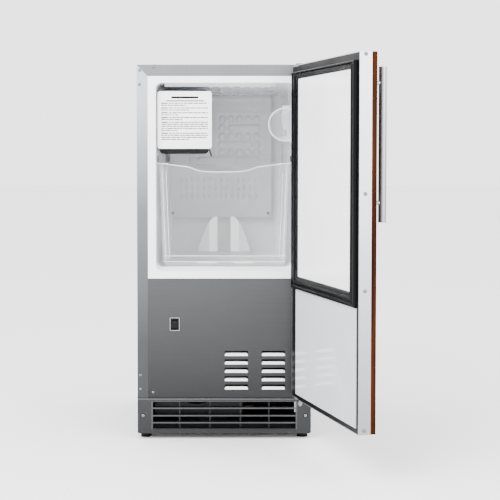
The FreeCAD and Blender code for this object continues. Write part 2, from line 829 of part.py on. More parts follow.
def bin_outline(shrink, level):
    """The bin in plan, wider at the front, with cut corners; level 0 is the bottom and 1 the rim."""
    front_half = 133 + 8 * level - shrink
    back_half = 127 + 8 * level - shrink
    front = bin_front + 8 * (1 - level) + shrink
    back = bin_back - 12 * (1 - level) - shrink
    nip = 9
    return [
        (-front_half + nip, front),
        (front_half - nip, front),
        (front_half, front + nip),
        (back_half, back - nip),
        (back_half - nip, back),
        (-back_half + nip, back),
        (-back_half, back - nip),
        (-front_half, front + nip),
    ]


def bin_block(name, shrink, low, high):
    """A tapered block with cut upright edges, as large as the bin less a wall."""
    body = new_body(name)
    sections = []
    for level, z in ((0, low), (1, high)):
        sketch = new_sketch(body, "XY", z)
        polygon(sketch, bin_outline(shrink, level))
        sections.append(sketch)
    loft(body, "Additive", sections)
    return body


def make_bin():
    """Clear ice bin: tapered walls, rim, and a dip in the front rim to take hold of."""
    outer = bin_block("bin_outer", 0, bin_low, bin_high)
    inner = bin_block("bin_inner", bin_wall, bin_low + bin_wall, bin_high + 0.5)
    rim = new_body("bin_rim")
    sketch = new_sketch(rim, "XY", bin_high - 2.4)
    polygon(sketch, bin_outline(-3, 1))
    pad(rim, sketch, "XY", 2.4)
    dip = new_body("bin_dip")
    outline = [
        (-134, 592),
        (-134, 590),
        (-73, 583),
        (-62, 576),
        (-42, 573),
        (36, 573),
        (56, 576),
        (67, 583),
        (128, 590),
        (128, 592),
    ]
    slab(dip, "XZ", polygon, (bin_front - 6, bin_front + 8), outline)
    lip = new_body("bin_lip")
    outline = [(-42, 571), (36, 571), (36, 573.2), (-42, 573.2)]
    slab(lip, "XZ", polygon, (bin_front - 2.4, bin_front + 3.1), outline)
    walls = cut("bin_walls", join("bin_solid", [outer, rim]), [inner, dip])
    keep(join("ice_bin", [walls, lip]), "ice_bin")


def make_scoop():
    """Clear cup-shaped scoop with a short handle, and the white hook that it clips into."""
    body = new_body("ice_scoop")
    slab(body, "XZ", circle, (27, 77), scoop_x, scoop_z, scoop_radius)
    opening(body, "XZ", circle, (26, 75), scoop_x, scoop_z, scoop_radius - 2)
    slab(body, "XZ", circle, (76, 150), scoop_x, scoop_z - 17.7, 6)
    keep(body, "ice_scoop")
    hook = new_body("scoop_hook")
    outline = [
        (143.2, 717),
        (128, 717),
        (128, 700),
        (125, 698),
        (129, 664),
        (138, 664),
        (138, 648.5),
        (127, 648.5),
        (127, 645),
        (143.2, 645),
    ]
    slab(hook, "XZ", polygon, (86, 94), outline)
    keep(hook, "scoop_hook")


# ---------------------------------------------------------------- lower compartment


def make_switch():
    """Power rocker in its bezel."""
    bezel = new_body("switch_bezel")
    outside = ((switch_x - 9.75, switch_x + 9.75), (switch_z - 13.5, switch_z + 13.5))
    slab(bezel, "XZ", rounded, (-2, 0), *outside, 2)
    sleeve = ((switch_x - 8.3, switch_x + 8.3), (switch_z - 11.8, switch_z + 11.8))
    slab(bezel, "XZ", rectangle, (-0.5, 18), *sleeve)
    room = ((switch_x - 6.5, switch_x + 6.5), (switch_z - 10, switch_z + 10))
    opening(bezel, "XZ", rectangle, (-3, 14), *room)
    keep(bezel, "switch_bezel")
    rocker = new_body("switch_rocker")
    outline = [(-4.6, 255.2), (-2.2, 247), (-2.8, 238.6), (5.5, 240.5), (5.5, 253.5)]
    slab(rocker, "YZ", polygon, (switch_x - 6, switch_x + 6), outline)
    keep(rocker, "switch_rocker")


def make_machinery():
    """Compressor, condenser, fan, valve, control box and their tubes."""
    floor = foot_height + 1.5
    grommets = []
    bolts = []
    for dx in (-62, 62):
        for dy in (-46, 46):
            spot = (shell_x + dx, shell_y + dy)
            ring = rod("grommet", "Z", spot, 9, (floor, floor + 14))
            hole = rod("grommet_hole", "Z", spot, 3.1, (floor - 1, floor + 15))
            grommets.append(cut("grommet_ring", ring, [hole]))
            bolts.append(rod("bolt_shank", "Z", spot, 3, (floor, floor + 20)))
            bolts.append(rod("bolt_head", "Z", spot, 5.5, (floor + 17.2, floor + 21)))
    keep(join("compressor_mounts", grommets + bolts), "compressor_mounts")

    base = floor + 14.1
    plate = box(
        "foot_plate", (shell_x - 74, shell_x + 74), (shell_y - 58, shell_y + 58), (base, base + 3)
    )
    slots = []
    for dx in (-62, 62):
        for dy in (-46, 46):
            slots.append(rod("slot", "Z", (shell_x + dx, shell_y + dy), 3.3, (base - 1, base + 4)))
    plate = cut("compressor_foot", plate, slots)
    can = rod("can", "Z", (shell_x, shell_y), 64, (base + 14, base + 116))
    low = taper("can_low", "Z", (shell_x, shell_y), (46, 64), (base + 2.9, base + 14.1))
    high = taper("can_high", "Z", (shell_x, shell_y), (64, 34), (base + 115.9, base + 140))
    seam = rod("can_seam", "Z", (shell_x, shell_y), 67, (base + 72, base + 77))
    keep(join("compressor", [plate, can, low, high, seam]), "compressor")
    box_x = (shell_x - 96, shell_x - 63)
    cover = box("terminal_block", box_x, (shell_y - 24, shell_y + 24), (base + 40, base + 96))
    can_room = rod("terminal_room", "Z", (shell_x, shell_y), 67.2, (base + 30, base + 100))
    keep(cut("terminal_cover", cover, [can_room]), "terminal_cover")

    coil = new_body("condenser_coil")
    slab(coil, "XZ", rectangle, (60, 62), (-152, 40), (40, 205))
    slab(coil, "XZ", rectangle, (92, 94), (-152, 40), (40, 205))
    sketch = new_sketch(coil, "YZ", -152)
    rectangle(sketch, (60, 94), (40, 205))
    pad(coil, sketch, "YZ", 2)
    opening(coil, "XZ", circle, (59, 95), fan_x, fan_z, fan_radius - 14)
    fins = new_sketch(coil, "YZ", 38)
    rectangle(fins, (60, 94), (40, 205))
    pad(coil, fins, "YZ", 2)
    for row in range(6):
        z = 54 + 27 * row
        slab(coil, "YZ", circle, (-158, 48), 77, z, 4.8)
    keep(coil, "condenser_coil")

    shroud = new_body("shroud_duct")
    slab(shroud, "XZ", rectangle, (94.4, 124), (-152, 40), (34, 210))
    opening(shroud, "XZ", circle, (93, 126), fan_x, fan_z, fan_radius + 4)
    strut_half = fan_radius + 8
    arms = box("strut", (fan_x - strut_half, fan_x + strut_half), (124.2, 127), (112, 128))
    post = box("strut", (fan_x - 8, fan_x + 8), (124.2, 127), (34, 210))
    hole = rod("strut_hole", "Y", (fan_x, fan_z), 3.4, (120, 130))
    spider = cut("fan_spider", join("fan_struts", [arms, post]), [hole])
    keep(join("fan_shroud", [shroud, spider]), "fan_shroud")
    drum = rod("motor_drum", "Y", (fan_x, fan_z), 24, (127.2, 168))
    hole = rod("motor_hole", "Y", (fan_x, fan_z), 3.1, (120, 160))
    keep(cut("motor_body", drum, [hole]), "fan_motor")

    pieces = [rod("hub", "Y", (fan_x, fan_z), 15, (100, 120))]
    pieces.append(rod("fan_shaft", "Y", (fan_x, fan_z), 3, (119, 158)))
    for i in range(5):
        blade = doc.addObject("Part::Box", "fan_vane")
        bind(blade, "Length", fan_radius - 12)
        blade.Width = 2
        blade.Height = 34
        pitch = Rotation(Vector(1, 0, 0), 32)
        turn = Rotation(Vector(0, 1, 0), 72 * i)
        start = turn.multVec(Vector(12, 0, 0) + pitch.multVec(Vector(0, -1, -17)))
        centre = Vector(fan_x.number, 110, fan_z.number)
        blade.Placement = Placement(centre + start, turn * pitch)
        pieces.append(blade)
    keep(join("fan_blade", pieces), "fan_blade")

    control = new_body("control_box")
    slab(control, "XZ", rectangle, (24, 104), (-160, -50), (216, 300))
    opening(control, "XZ", rectangle, (26, 102), (-158, -52), (218, 298))
    keep(control, "control_box")

    valve = [
        box("valve_body", (-166, -134), (340, 384), (134, 166)),
        rod("valve_coil", "Z", (-150, 354), 14, (165, 196)),
        rod("valve_inlet", "Y", (-150, 150), 7.4, (383, cabinet_depth + 2)),
    ]
    nut = rod("inlet_nut", "Y", (-150, 150), 9, (cabinet_depth + 0.2, cabinet_depth + 8))
    thread = rod("inlet_thread", "Y", (-150, 150), 6.5, (cabinet_depth + 2, cabinet_depth + 20))
    bore = rod("inlet_bore", "Y", (-150, 150), 3, (cabinet_depth + 3, cabinet_depth + 21))
    collar = rod("inlet_collar", "Y", (-150, 150), 7.5, (cabinet_depth, cabinet_depth + 2.1))
    inlet = cut("inlet_fitting", join("inlet_solid", [nut, thread]), [bore, collar])
    keep(join("water_valve", valve + [inlet]), "water_valve")

    water = [(362, 196.5), (362, 240), (392, 300), (392, 719), (274, 719)]
    keep(pipe("water_tube", "YZ", -100, water, 3.2, 14), "water_tube")
    suction = [(320, 176), (320, 240), (380, 300), (380, 520), (plate_front.number + 3, 520)]
    cold = pipe("cold_run", "YZ", 96, suction, 4, 20)
    hot = pipe("hot_run", "XY", 150, [(48.5, 77), (66, 77), (66, 214)], 3, 12)
    cool = pipe("cool_run", "XY", 54, [(48.5, 77), (62, 77), (62, 150)], 2.4, 8)
    keep(join("refrigerant_lines", [cold, hot, cool]), "refrigerant_lines")
    drier = [
        rod("drier_can", "Y", (62, 54), 10, (156, 204)),
        taper("drier_front", "Y", (62, 54), (3, 10), (150.2, 156.1)),
        taper("drier_rear", "Y", (62, 54), (10, 3), (203.9, 212)),
    ]
    keep(join("filter_drier", drier), "filter_drier")

    flange = rod("gland_flange", "Y", (-150, 60), 9.5, (cabinet_depth, cabinet_depth + 3))
    neck = rod("gland_neck", "Y", (-150, 60), 6.2, (rear_inner - 8, cabinet_depth + 1))
    hole = rod("gland_hole", "Y", (-150, 60), 3.5, (rear_inner - 9, cabinet_depth + 4))
    keep(cut("cord_gland", join("gland_solid", [flange, neck]), [hole]), "cord_gland")


# ---------------------------------------------------------------- door

door_pieces = []


def keep_door(item, name):
    """Keep a piece that turns with the door."""
    door_pieces.append(item)
    return keep(item, name)


NOTCH_X = (148, 187)
NOTCH_Y = (-43, -7)
HANDLE_POSTS = (post_low, post_high)


def notch_corners(body):
    """Make room for the hinge plates at the door's two hinge-side corners."""
    for low, high in ((door_low - 1, door_low + 3.1), (door_high - 3.1, door_high + 1)):
        opening(body, "XY", rectangle, (low, high), NOTCH_X, NOTCH_Y)


def pin_bores(body, radius):
    """Blind bores on the hinge line that clear the bushes."""
    for low, high in ((door_low, door_low + 16), (door_high - 16, door_high)):
        opening(body, "XY", circle, (low, high), pin_x, pin_y, radius)


def make_door():
    """Metal leaf with white inner panels, a magnetic gasket and a wood overlay panel."""
    wood = new_body("wood_panel")
    slab(wood, "XZ", rectangle, (wood_front, leaf_front), (-half, half), (door_low, door_high))
    notch_corners(wood)
    pin_bores(wood, 6.3)
    holes = new_sketch(wood, "XZ", wood_front - 1)
    for z in HANDLE_POSTS:
        circle(holes, -half + handle_inset, z, 2.3)
    pocket(wood, holes, "XZ", 12)
    keep_door(wood, "wood_panel")

    edge = half - edge_sheet
    skin = new_body("door_skin")
    skin_back = leaf_front + 1
    tall = (door_low + edge_sheet, door_high - edge_sheet)
    slab(skin, "XZ", rectangle, (leaf_front, skin_back), (-edge, edge), tall)
    notch_corners(skin)
    pin_bores(skin, 6.3)
    holes = new_sketch(skin, "XZ", leaf_front - 1)
    for z in HANDLE_POSTS:
        circle(holes, -half + handle_inset, z, 2.3)
    pocket(skin, holes, "XZ", 3)
    keep_door(skin, "door_skin")

    across = (leaf_front, leaf_back)
    free = new_body("door_edge_free")
    slab(free, "XY", rectangle, (door_low, door_high), (-half, -edge), across)
    drill = new_sketch(free, "YZ", -half - 1)
    for z in (106, 361, 538, 790):
        circle(drill, -20, z, screw_shank)
    pocket(free, drill, "YZ", 4)
    keep_door(free, "door_edge_free")
    channel = new_body("door_edge_channel")
    slab(channel, "XZ", rectangle, across, (-edge, half), (door_low, door_high))
    hollow = ((-half, edge), (door_low + edge_sheet, door_high - edge_sheet))
    opening(channel, "XZ", rectangle, (leaf_front - 1, 1), *hollow)
    notch_corners(channel)
    keep_door(channel, "door_edge_channel")

    frame = new_body("door_inner_frame")
    frame_front = leaf_back - 1
    slab(frame, "XZ", rectangle, (frame_front, leaf_back), (-edge, edge), tall)
    notch_corners(frame)
    keep_door(frame, "door_inner_frame")
    core = new_body("door_foam")
    slab(core, "XZ", rectangle, (skin_back, frame_front), (-edge, edge), tall)
    notch_corners(core)
    pin_bores(core, 6.4)
    drill = new_sketch(core, "YZ", -edge - 1)
    for z in (106, 361, 538, 790):
        circle(drill, -20, z, screw_shank)
    pocket(core, drill, "YZ", 9)
    drill = new_sketch(core, "XZ", skin_back - 1)
    for z in HANDLE_POSTS:
        circle(drill, -half + handle_inset, z, 4.2)
    pocket(core, drill, "XZ", 7)
    keep_door(core, "door_foam")

    inner_low = gasket_low + gasket_foot + 0.5
    inner_high = gasket_high - gasket_head - 0.5
    window = new_body("door_window_panel")
    window_half = gasket_half - gasket_side - 0.5
    high = (leaf_back, leaf_back + 1.5)
    slab(window, "XZ", rectangle, high, (-window_half, window_half), (inner_low, inner_high))
    keep_door(window, "door_window_panel")
    lower = new_body("door_lower_panel")
    slab(lower, "XZ", rectangle, high, (-176, 158), (109, gasket_low - 1))
    keep_door(lower, "door_lower_panel")

    seal = new_body("door_gasket")
    outside = ((-gasket_half, gasket_half), (gasket_low, gasket_high))
    slab(seal, "XZ", rectangle, (leaf_back + 0.02, -0.4), *outside)
    inside_half = gasket_half - gasket_side
    room = ((-inside_half, inside_half), (inner_low - 0.5, inner_high + 0.5))
    opening(seal, "XZ", rectangle, (leaf_back - 1, 1), *room)
    for share in (0.22, 0.58):
        ridge = new_sketch(seal, "XZ", -2.4)
        for part in (share, share + 0.14):
            across = gasket_half - gasket_side * part
            low = gasket_low + gasket_foot * part
            top = gasket_high - gasket_head * part
            rectangle(ridge, (-across, across), (low, top))
        pocket(seal, ridge, "XZ", 3)
    keep_door(seal, "door_gasket")

    heads = []
    for z in (106, 361, 538, 790):
        heads.append(taper("edge_head", "X", (-20, z), (1.9, 3.2), (-half - 1.5, -half)))
        heads.append(rod("edge_shank", "X", (-20, z), 1.5, (-half, -half + 8)))
    keep_door(join("door_edge_screws", heads), "door_edge_screws")


def make_handle():
    """Tubular pull on two posts, with a base ring and a long screw at each."""
    bar_x = -half + handle_inset
    bar_y = wood_front - handle_reach
    bar = rod("bar", "Z", (bar_x, bar_y), handle_radius, (handle_low, handle_high))
    sockets = []
    posts = []
    rings = []
    bolts = []
    for z in HANDLE_POSTS:
        sockets.append(rod("socket", "Y", (bar_x, z), post_radius + 0.02, (bar_y, wood_front)))
        post = rod("post", "Y", (bar_x, z), post_radius, (bar_y + 1, wood_front))
        thread = rod("post_thread", "Y", (bar_x, z), 2, (wood_front - 12, wood_front + 1))
        posts.append(cut("post_drilled", post, [thread]))
        ring = rod("ring", "Y", (bar_x, z), 7, (wood_front - 2.5, wood_front - 0.02))
        hole = rod("ring_hole", "Y", (bar_x, z), post_radius + 0.02, (wood_front - 3, wood_front))
        rings.append(cut("base_ring", ring, [hole]))
        bolts.append(rod("bolt", "Y", (bar_x, z), 1.98, (wood_front - 11.5, leaf_front + 1)))
        bolts.append(rod("bolt_cap", "Y", (bar_x, z), 4, (leaf_front + 1, leaf_front + 4)))
    keep_door(cut("handle_bar", bar, sockets), "handle_bar")
    keep_door(join("handle_posts", posts + rings + bolts), "handle_posts")


def make_hinges():
    """Top and bottom hinge brackets with fixed pins, and the plates and bushes on the door."""
    sides = (
        ("top", door_high - 3, door_high + 1.5, 1),
        ("bottom", door_low, door_low - 4.5, -1),
    )
    plates = []
    bushes = []
    pins = []
    brackets = []
    for name, plate_low_z, bracket_low, up in sides:
        plate = new_body(f"hinge_plate_{name}")
        slab(plate, "XY", rectangle, (plate_low_z, plate_low_z + 3), (150, 185), (-41, -9))
        opening(plate, "XY", circle, (plate_low_z - 1, plate_low_z + 4), pin_x, pin_y, 6)
        plates.append(plate)
        low = plate_low_z - 9 if up > 0 else plate_low_z
        sleeve = rod("bush_sleeve", "Z", (pin_x, pin_y), 5.98, (low, low + 12))
        hole = rod("bush_hole", "Z", (pin_x, pin_y), pin_radius + 0.05, (low - 1, low + 13))
        bushes.append(cut(f"hinge_bush_{name}", sleeve, [hole]))

        bracket = new_body(f"hinge_bracket_{name}")
        arm = (bracket_low, bracket_low + 3)
        slab(bracket, "XY", rectangle, arm, (150, 184), (-44, -0.05))
        if up > 0:
            leg = (781.5, bracket_low + 3)
            spots = [(157, 789), (177, 789)]
        else:
            leg = (58, bracket_low + 3)
            spots = [(157, 68), (177, 78)]
        slab(bracket, "XZ", rectangle, (-2.6, -0.05), (150, 184), leg)
        drill = new_sketch(bracket, "XZ", -4)
        for x, z in spots:
            circle(drill, x, z, 2)
        pocket(bracket, drill, "XZ", 6)
        opening(bracket, "XY", circle, (bracket_low - 1, bracket_low + 4), pin_x, pin_y, pin_radius)
        brackets.append(bracket)
        if up > 0:
            span = (low + 1, bracket_low + 3.8)
        else:
            span = (bracket_low - 0.8, low + 11)
        pins.append(rod(f"hinge_pin_{name}", "Z", (pin_x, pin_y), pin_radius, span))
    keep_door(join("door_hinge_plates", plates), "door_hinge_plates")
    keep_door(join("hinge_bushes", bushes), "hinge_bushes")
    keep(join("hinge_pins", pins), "hinge_pins")
    nut = rod("stop_nut", "Z", (160.5, -30), 5, (80, 85))
    stem = rod("stop_stem", "Z", (160.5, -30), 3, (77, 93.5))
    keep(join("hinge_brackets", brackets + [nut, stem]), "hinge_brackets")


def swing_door():
    """Turn every door piece about the pin to the angle at which the door stands open."""
    for item in door_pieces:
        item.Placement = Placement(
            Vector(),
            Rotation(Vector(0, 0, 1), open_angle.number),
            Vector(pin_x.number, pin_y.number, 0),
        )
        bind(item, ".Placement.Rotation.Angle", open_angle)


# ---------------------------------------------------------------- build and export


def failed_objects():
    """Names of the objects that did not build."""
    bad = []
    for item in doc.Objects:
        if "Invalid" in item.State or "Error" in item.State:
            bad.append(item.Name)
    for item in nodes:
        if item.Shape.isNull() or not item.Shape.isValid():
            bad.append(item.Label)
    return bad


def write_steps():
    """Write one file for each piece."""
    os.makedirs("parts", exist_ok=True)
    for item in nodes:
        item.Shape.exportStep(os.path.join("parts", f"{item.Label}.step"))


make_cabinet_wrap()
make_base_pan()
make_feet()
make_rear()
make_front_panel()
make_kick_plate()
make_liner()
make_foam()
make_evaporator()
make_ice_maker()
make_bin()
make_scoop()
make_switch()
make_machinery()
make_door()
make_handle()
make_hinges()
doc.recompute()
swing_door()
doc.recompute()
problems = failed_objects()
if problems:
    raise RuntimeError(f"these did not build: {problems}")
write_steps()
print(len(nodes), "pieces written")
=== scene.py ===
"""Looks of the built-in ice maker: materials for every piece, and finer meshes for the bin, plate,
gasket, scoop and screws. It works in metres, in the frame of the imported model, where the door
stands open. Numbers of millimetres are scaled by MM where they are used."""

import json
import math
import random

import bpy
from mathutils import Matrix, Vector


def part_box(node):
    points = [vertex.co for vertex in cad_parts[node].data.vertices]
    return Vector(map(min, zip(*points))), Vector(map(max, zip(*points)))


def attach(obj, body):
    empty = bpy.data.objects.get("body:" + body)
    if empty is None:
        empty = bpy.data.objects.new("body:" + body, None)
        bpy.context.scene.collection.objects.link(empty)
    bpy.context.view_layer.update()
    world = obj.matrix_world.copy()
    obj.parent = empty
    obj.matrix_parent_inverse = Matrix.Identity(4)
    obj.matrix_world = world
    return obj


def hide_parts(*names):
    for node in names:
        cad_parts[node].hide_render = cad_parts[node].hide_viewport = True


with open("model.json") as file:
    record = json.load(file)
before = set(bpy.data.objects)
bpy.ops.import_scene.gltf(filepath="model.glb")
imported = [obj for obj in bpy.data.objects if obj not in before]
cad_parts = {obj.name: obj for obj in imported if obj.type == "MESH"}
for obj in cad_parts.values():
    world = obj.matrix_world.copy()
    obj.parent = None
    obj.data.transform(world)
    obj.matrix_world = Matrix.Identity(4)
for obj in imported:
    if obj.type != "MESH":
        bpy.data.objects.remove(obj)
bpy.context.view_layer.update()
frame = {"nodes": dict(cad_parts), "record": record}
nodes = frame["nodes"]
random.seed(4)

MM = 0.001
TINY = 1e-6
OUTWARD = (0, -1, 0)
INWARD = (0, 1, 0)
CASE_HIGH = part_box("cabinet_wrap")[1]

# Door pieces are drawn on the shut door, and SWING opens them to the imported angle.
joints = {joint["name"]: joint for joint in frame["record"]["behaviour"]["joints"]}
door_joint = joints["door_hinge"]
PIN = Vector(door_joint["pos_m"])
OPEN = math.radians(-door_joint["range_deg"][0])
SWING = Matrix.Translation(PIN) @ Matrix.Rotation(OPEN, 4, "Z") @ Matrix.Translation(-PIN)


# ---------------------------------------------------------------- materials

HEADER_TALL, UPRIGHT_WIDE = 24 * MM, 23 * MM  # visible faces of the front flange
SEAM_HALF = 0.3 * MM
BRUSH_FINE, BRUSH_LONG = 900, 4  # noise cells in a metre, across the brushing and along it


class Paint:
    """A Principled material, its textures in the piece's own frame, with helpers for its nodes."""

    def __init__(self, name, colour, metallic=0.0, roughness=0.5):
        self.material = bpy.data.materials.new(name)
        self.material.use_nodes = True
        self.tree = self.material.node_tree
        self.shader = self.tree.nodes["Principled BSDF"]
        self.shader.inputs["Base Color"].default_value = (*colour, 1)
        self.shader.inputs["Metallic"].default_value = metallic
        self.shader.inputs["Roughness"].default_value = roughness
        self.place = self.tree.nodes.new("ShaderNodeTexCoord").outputs["Object"]

    def node(self, kind, **values):
        """A new node; each value sets an attribute, or else the input of that name."""
        made = self.tree.nodes.new(kind)
        for name, value in values.items():
            if hasattr(made, name):
                setattr(made, name, value)
            else:
                made.inputs[name.replace("_", " ")].default_value = value
        return made

    def link(self, start, end):
        self.tree.links.new(start, end)

    def noise(self, stretch, scale, detail=4.0):
        """Noise over the piece's own metres, with a scale for each axis."""
        mapping = self.node("ShaderNodeMapping")
        mapping.inputs["Scale"].default_value = stretch
        self.link(self.place, mapping.inputs["Vector"])
        noise = self.node("ShaderNodeTexNoise", Scale=scale, Detail=detail)
        self.link(mapping.outputs["Vector"], noise.inputs["Vector"])
        return noise.outputs["Fac"]

    def spread(self, value, low, high):
        """Noise, which mostly lies between 0.3 and 0.7, mapped to a range."""
        return self.remap(value, (0.3, 0.7), (low, high))

    def remap(self, value, source, target=(0.0, 1.0)):
        """A value moved from one range to another, and held inside it."""
        ramp = self.node("ShaderNodeMapRange")
        ramp.inputs["From Min"].default_value = source[0]
        ramp.inputs["From Max"].default_value = source[1]
        ramp.inputs["To Min"].default_value = target[0]
        ramp.inputs["To Max"].default_value = target[1]
        self.link(value, ramp.inputs["Value"])
        return ramp.outputs["Result"]

    def rough(self, value, low, high):
        """Roughness that follows noise."""
        self.link(self.spread(value, low, high), self.shader.inputs["Roughness"])

    def bump(self, value, distance, strength=1.0):
        """Fine relief; distance is in metres."""
        bump = self.node("ShaderNodeBump", Strength=strength, Distance=distance)
        self.link(value, bump.inputs["Height"])
        self.link(bump.outputs["Normal"], self.shader.inputs["Normal"])

    def ramp(self, value, stops):
        """Colours along a value; stops are (place, colour)."""
        ramp = self.node("ShaderNodeValToRGB")
        while len(ramp.color_ramp.elements) < len(stops):
            ramp.color_ramp.elements.new(0.5)
        for element, (place, colour) in zip(ramp.color_ramp.elements, stops):
            element.position = place
            element.color = (*colour, 1)
        self.link(value, ramp.inputs["Fac"])
        return ramp.outputs["Color"]

    def along(self, axis, low, high):
        """0 at one place along an axis of the piece's frame, 1 at another."""
        split = self.node("ShaderNodeSeparateXYZ")
        self.link(self.place, split.inputs["Vector"])
        return self.remap(split.outputs[axis], (low, high))

    def sum(self, first, first_share, second, second_share, offset):
        """A weighted sum of two values and a fixed offset."""
        scaled = self.node("ShaderNodeMath", operation="MULTIPLY")
        scaled.inputs[1].default_value = second_share
        self.link(second, scaled.inputs[0])
        shifted = self.node("ShaderNodeMath", operation="ADD")
        shifted.inputs[1].default_value = offset
        self.link(scaled.outputs[0], shifted.inputs[0])
        total = self.node("ShaderNodeMath", operation="MULTIPLY_ADD")
        total.inputs[1].default_value = first_share
        self.link(first, total.inputs[0])
        self.link(shifted.outputs[0], total.inputs[2])
        return total.outputs[0]

    def paint_header_shade(self, tone):
        """The top flange is painted darker than the uprights as shade, split by mitres across both
        corners, with a dark joint line along each mitre.
        """
        split = self.node("ShaderNodeSeparateXYZ")
        self.link(self.place, split.inputs["Vector"])
        aside = self.node("ShaderNodeMath", operation="ABSOLUTE")
        self.link(split.outputs["X"], aside.inputs[0])
        slope = HEADER_TALL / UPRIGHT_WIDE
        offset = CASE_HIGH[2] - CASE_HIGH[0] * slope
        below = self.sum(split.outputs["Z"], -1.0, aside.outputs[0], slope, offset)
        edge = self.remap(below, (-SEAM_HALF, SEAM_HALF))
        # 0.38 is painted shade on the top flange, and 0.16 is the dark joint line at the mitre.
        shades = [(0.0, (0.38, 0.38, 0.38)), (0.5, (0.16, 0.16, 0.16)), (1.0, (1, 1, 1))]
        return self.multiply(tone, self.ramp(edge, shades))

    def multiply(self, first, second):
        """Two colours multiplied."""
        mix = self.node("ShaderNodeMix", data_type="RGBA", blend_type="MULTIPLY")
        mix.inputs["Factor"].default_value = 1.0
        self.link(first, mix.inputs["A"])
        self.link(second, mix.inputs["B"])
        return mix.outputs["Result"]


def shade(colour, factor):
    """A colour made darker or lighter."""
    return tuple(min(1.0, part * factor) for part in colour)


def greys(*stops):
    """Ramp stops of cool greys from (place, lightness) pairs."""
    return [(place, (value * 0.8, value * 0.82, value * 0.87)) for place, value in stops]


def brushed(name, stops, span, roughness=0.38, metallic=0.85, along="Z", depth=None, mitre=False):
    """Sheet metal: brushing along one axis, cloudy gloss, and painted shade that changes the tone
    with height.

    depth adds painted shade along Y as (start, end, shades), and mitre paints the top flange darker
    as shade."""
    paint = Paint(name, stops[0][1], metallic, roughness)
    stretch = tuple(BRUSH_LONG if axis == along else BRUSH_FINE for axis in "XYZ")
    grain = paint.noise(stretch, 1.0, 3.0)
    cloud = paint.noise((1, 1, 1), 9.0)
    tone = paint.ramp(paint.along("Z", *span), stops)
    streaks = paint.ramp(grain, [(0.3, (0.88, 0.88, 0.88)), (0.7, (1.0, 1.0, 1.0))])
    tone = paint.multiply(tone, streaks)
    if depth:
        start, end, shades = depth
        tone = paint.multiply(tone, paint.ramp(paint.along("Y", start, end), shades))
    if mitre:
        tone = paint.paint_header_shade(tone)
    paint.link(tone, paint.shader.inputs["Base Color"])
    paint.rough(cloud, roughness - 0.06, roughness + 0.06)
    paint.bump(grain, 0.00002, 0.5)
    return paint.material


def plain_metal(name, colour, roughness=0.3, cell=260.0):
    """Cast, drawn or plated metal with a fine mottle."""
    paint = Paint(name, colour, 1.0, roughness)
    mottle = paint.noise((1, 1, 1), cell)
    tone = paint.ramp(mottle, [(0.3, shade(colour, 0.85)), (0.7, shade(colour, 1.08))])
    paint.link(tone, paint.shader.inputs["Base Color"])
    paint.rough(mottle, roughness - 0.07, roughness + 0.1)
    paint.bump(mottle, 0.00004, 0.5)
    return paint.material


def plastic(name, colour, roughness=0.35, grain=900.0, depth=0.00003, shine=0.5):
    """Moulded plastic or paint: faint orange peel and a slow change of gloss."""
    paint = Paint(name, colour, 0.0, roughness)
    paint.shader.inputs["Specular IOR Level"].default_value = shine
    peel = paint.noise((1, 1, 1), grain, 2.0)
    cloud = paint.noise((1, 1, 1), 14.0)
    tone = paint.ramp(cloud, [(0.3, shade(colour, 0.96)), (0.7, shade(colour, 1.03))])
    paint.link(tone, paint.shader.inputs["Base Color"])
    paint.rough(cloud, max(0.05, roughness - 0.05), roughness + 0.06)
    paint.bump(peel, depth, 0.6)
    return paint.material


def clear(name, tint, low, high, roughness=0.06):
    """Clear moulded plastic: thin to look through, and denser and brighter where seen edge on,
    which is partly painted reflection.
    """
    paint = Paint(name, tint, 0.0, roughness)
    edge = paint.node("ShaderNodeLayerWeight", Blend=0.35)
    cover = paint.remap(edge.outputs["Facing"], (0.0, 1.0), (low, high))
    paint.link(cover, paint.shader.inputs["Alpha"])
    paint.rough(paint.noise((1, 1, 1), 60.0), roughness, roughness + 0.05)
    paint.bump(paint.noise((1, 1, 1), 35.0), 0.0002, 0.25)
    return paint.material


def stained_wood(name):
    """Reddish brown veneer with its grain upright."""
    dark = (0.011, 0.0017, 0.0001)
    middle = (0.024, 0.0044, 0.0003)
    light = (0.042, 0.0088, 0.0005)
    paint = Paint(name, light, 0.0, 0.55)
    paint.shader.inputs["Specular IOR Level"].default_value = 0.04
    grain = paint.noise((60, 60, 2.2), 2.4, 8.0)
    pores = paint.noise((900, 900, 22), 1.0, 3.0)
    tone = paint.ramp(grain, [(0.32, dark), (0.5, middle), (0.68, light)])
    specks = paint.ramp(pores, [(0.35, (0.7, 0.7, 0.7)), (0.5, (1, 1, 1))])
    paint.link(paint.multiply(tone, specks), paint.shader.inputs["Base Color"])
    paint.rough(pores, 0.5, 0.66)
    paint.bump(pores, 0.00006, 0.6)
    return paint.material


# A stop is (share of the span, lightness). A span is two heights in metres, or two depths for the
# painted recess shade. Every brushed metal below is painted darker towards the bottom and lighter
# towards the top as shade.
STEEL_PAINTED_SHADE = greys((0, 0.055), (0.18, 0.07), (0.57, 0.19), (0.89, 0.56), (1.0, 0.6))
PAINTED_RECESS_SHADE = (-0.0015, 0.0035, [(0.0, (1, 1, 1)), (1.0, (0.02, 0.02, 0.02))])

steel = brushed("wrap_steel", STEEL_PAINTED_SHADE, (0.08, 0.80), 0.42, mitre=True)
panel_grey = brushed("panel_grey", greys((0, 0.018), (1, 0.07)), (0.08, 0.345), 0.45, 0.6, "X")
kick_grey = brushed("kick_grey", greys((0, 0.02), (1, 0.032)), (0, 0.09), 0.4, 0.6, "X")
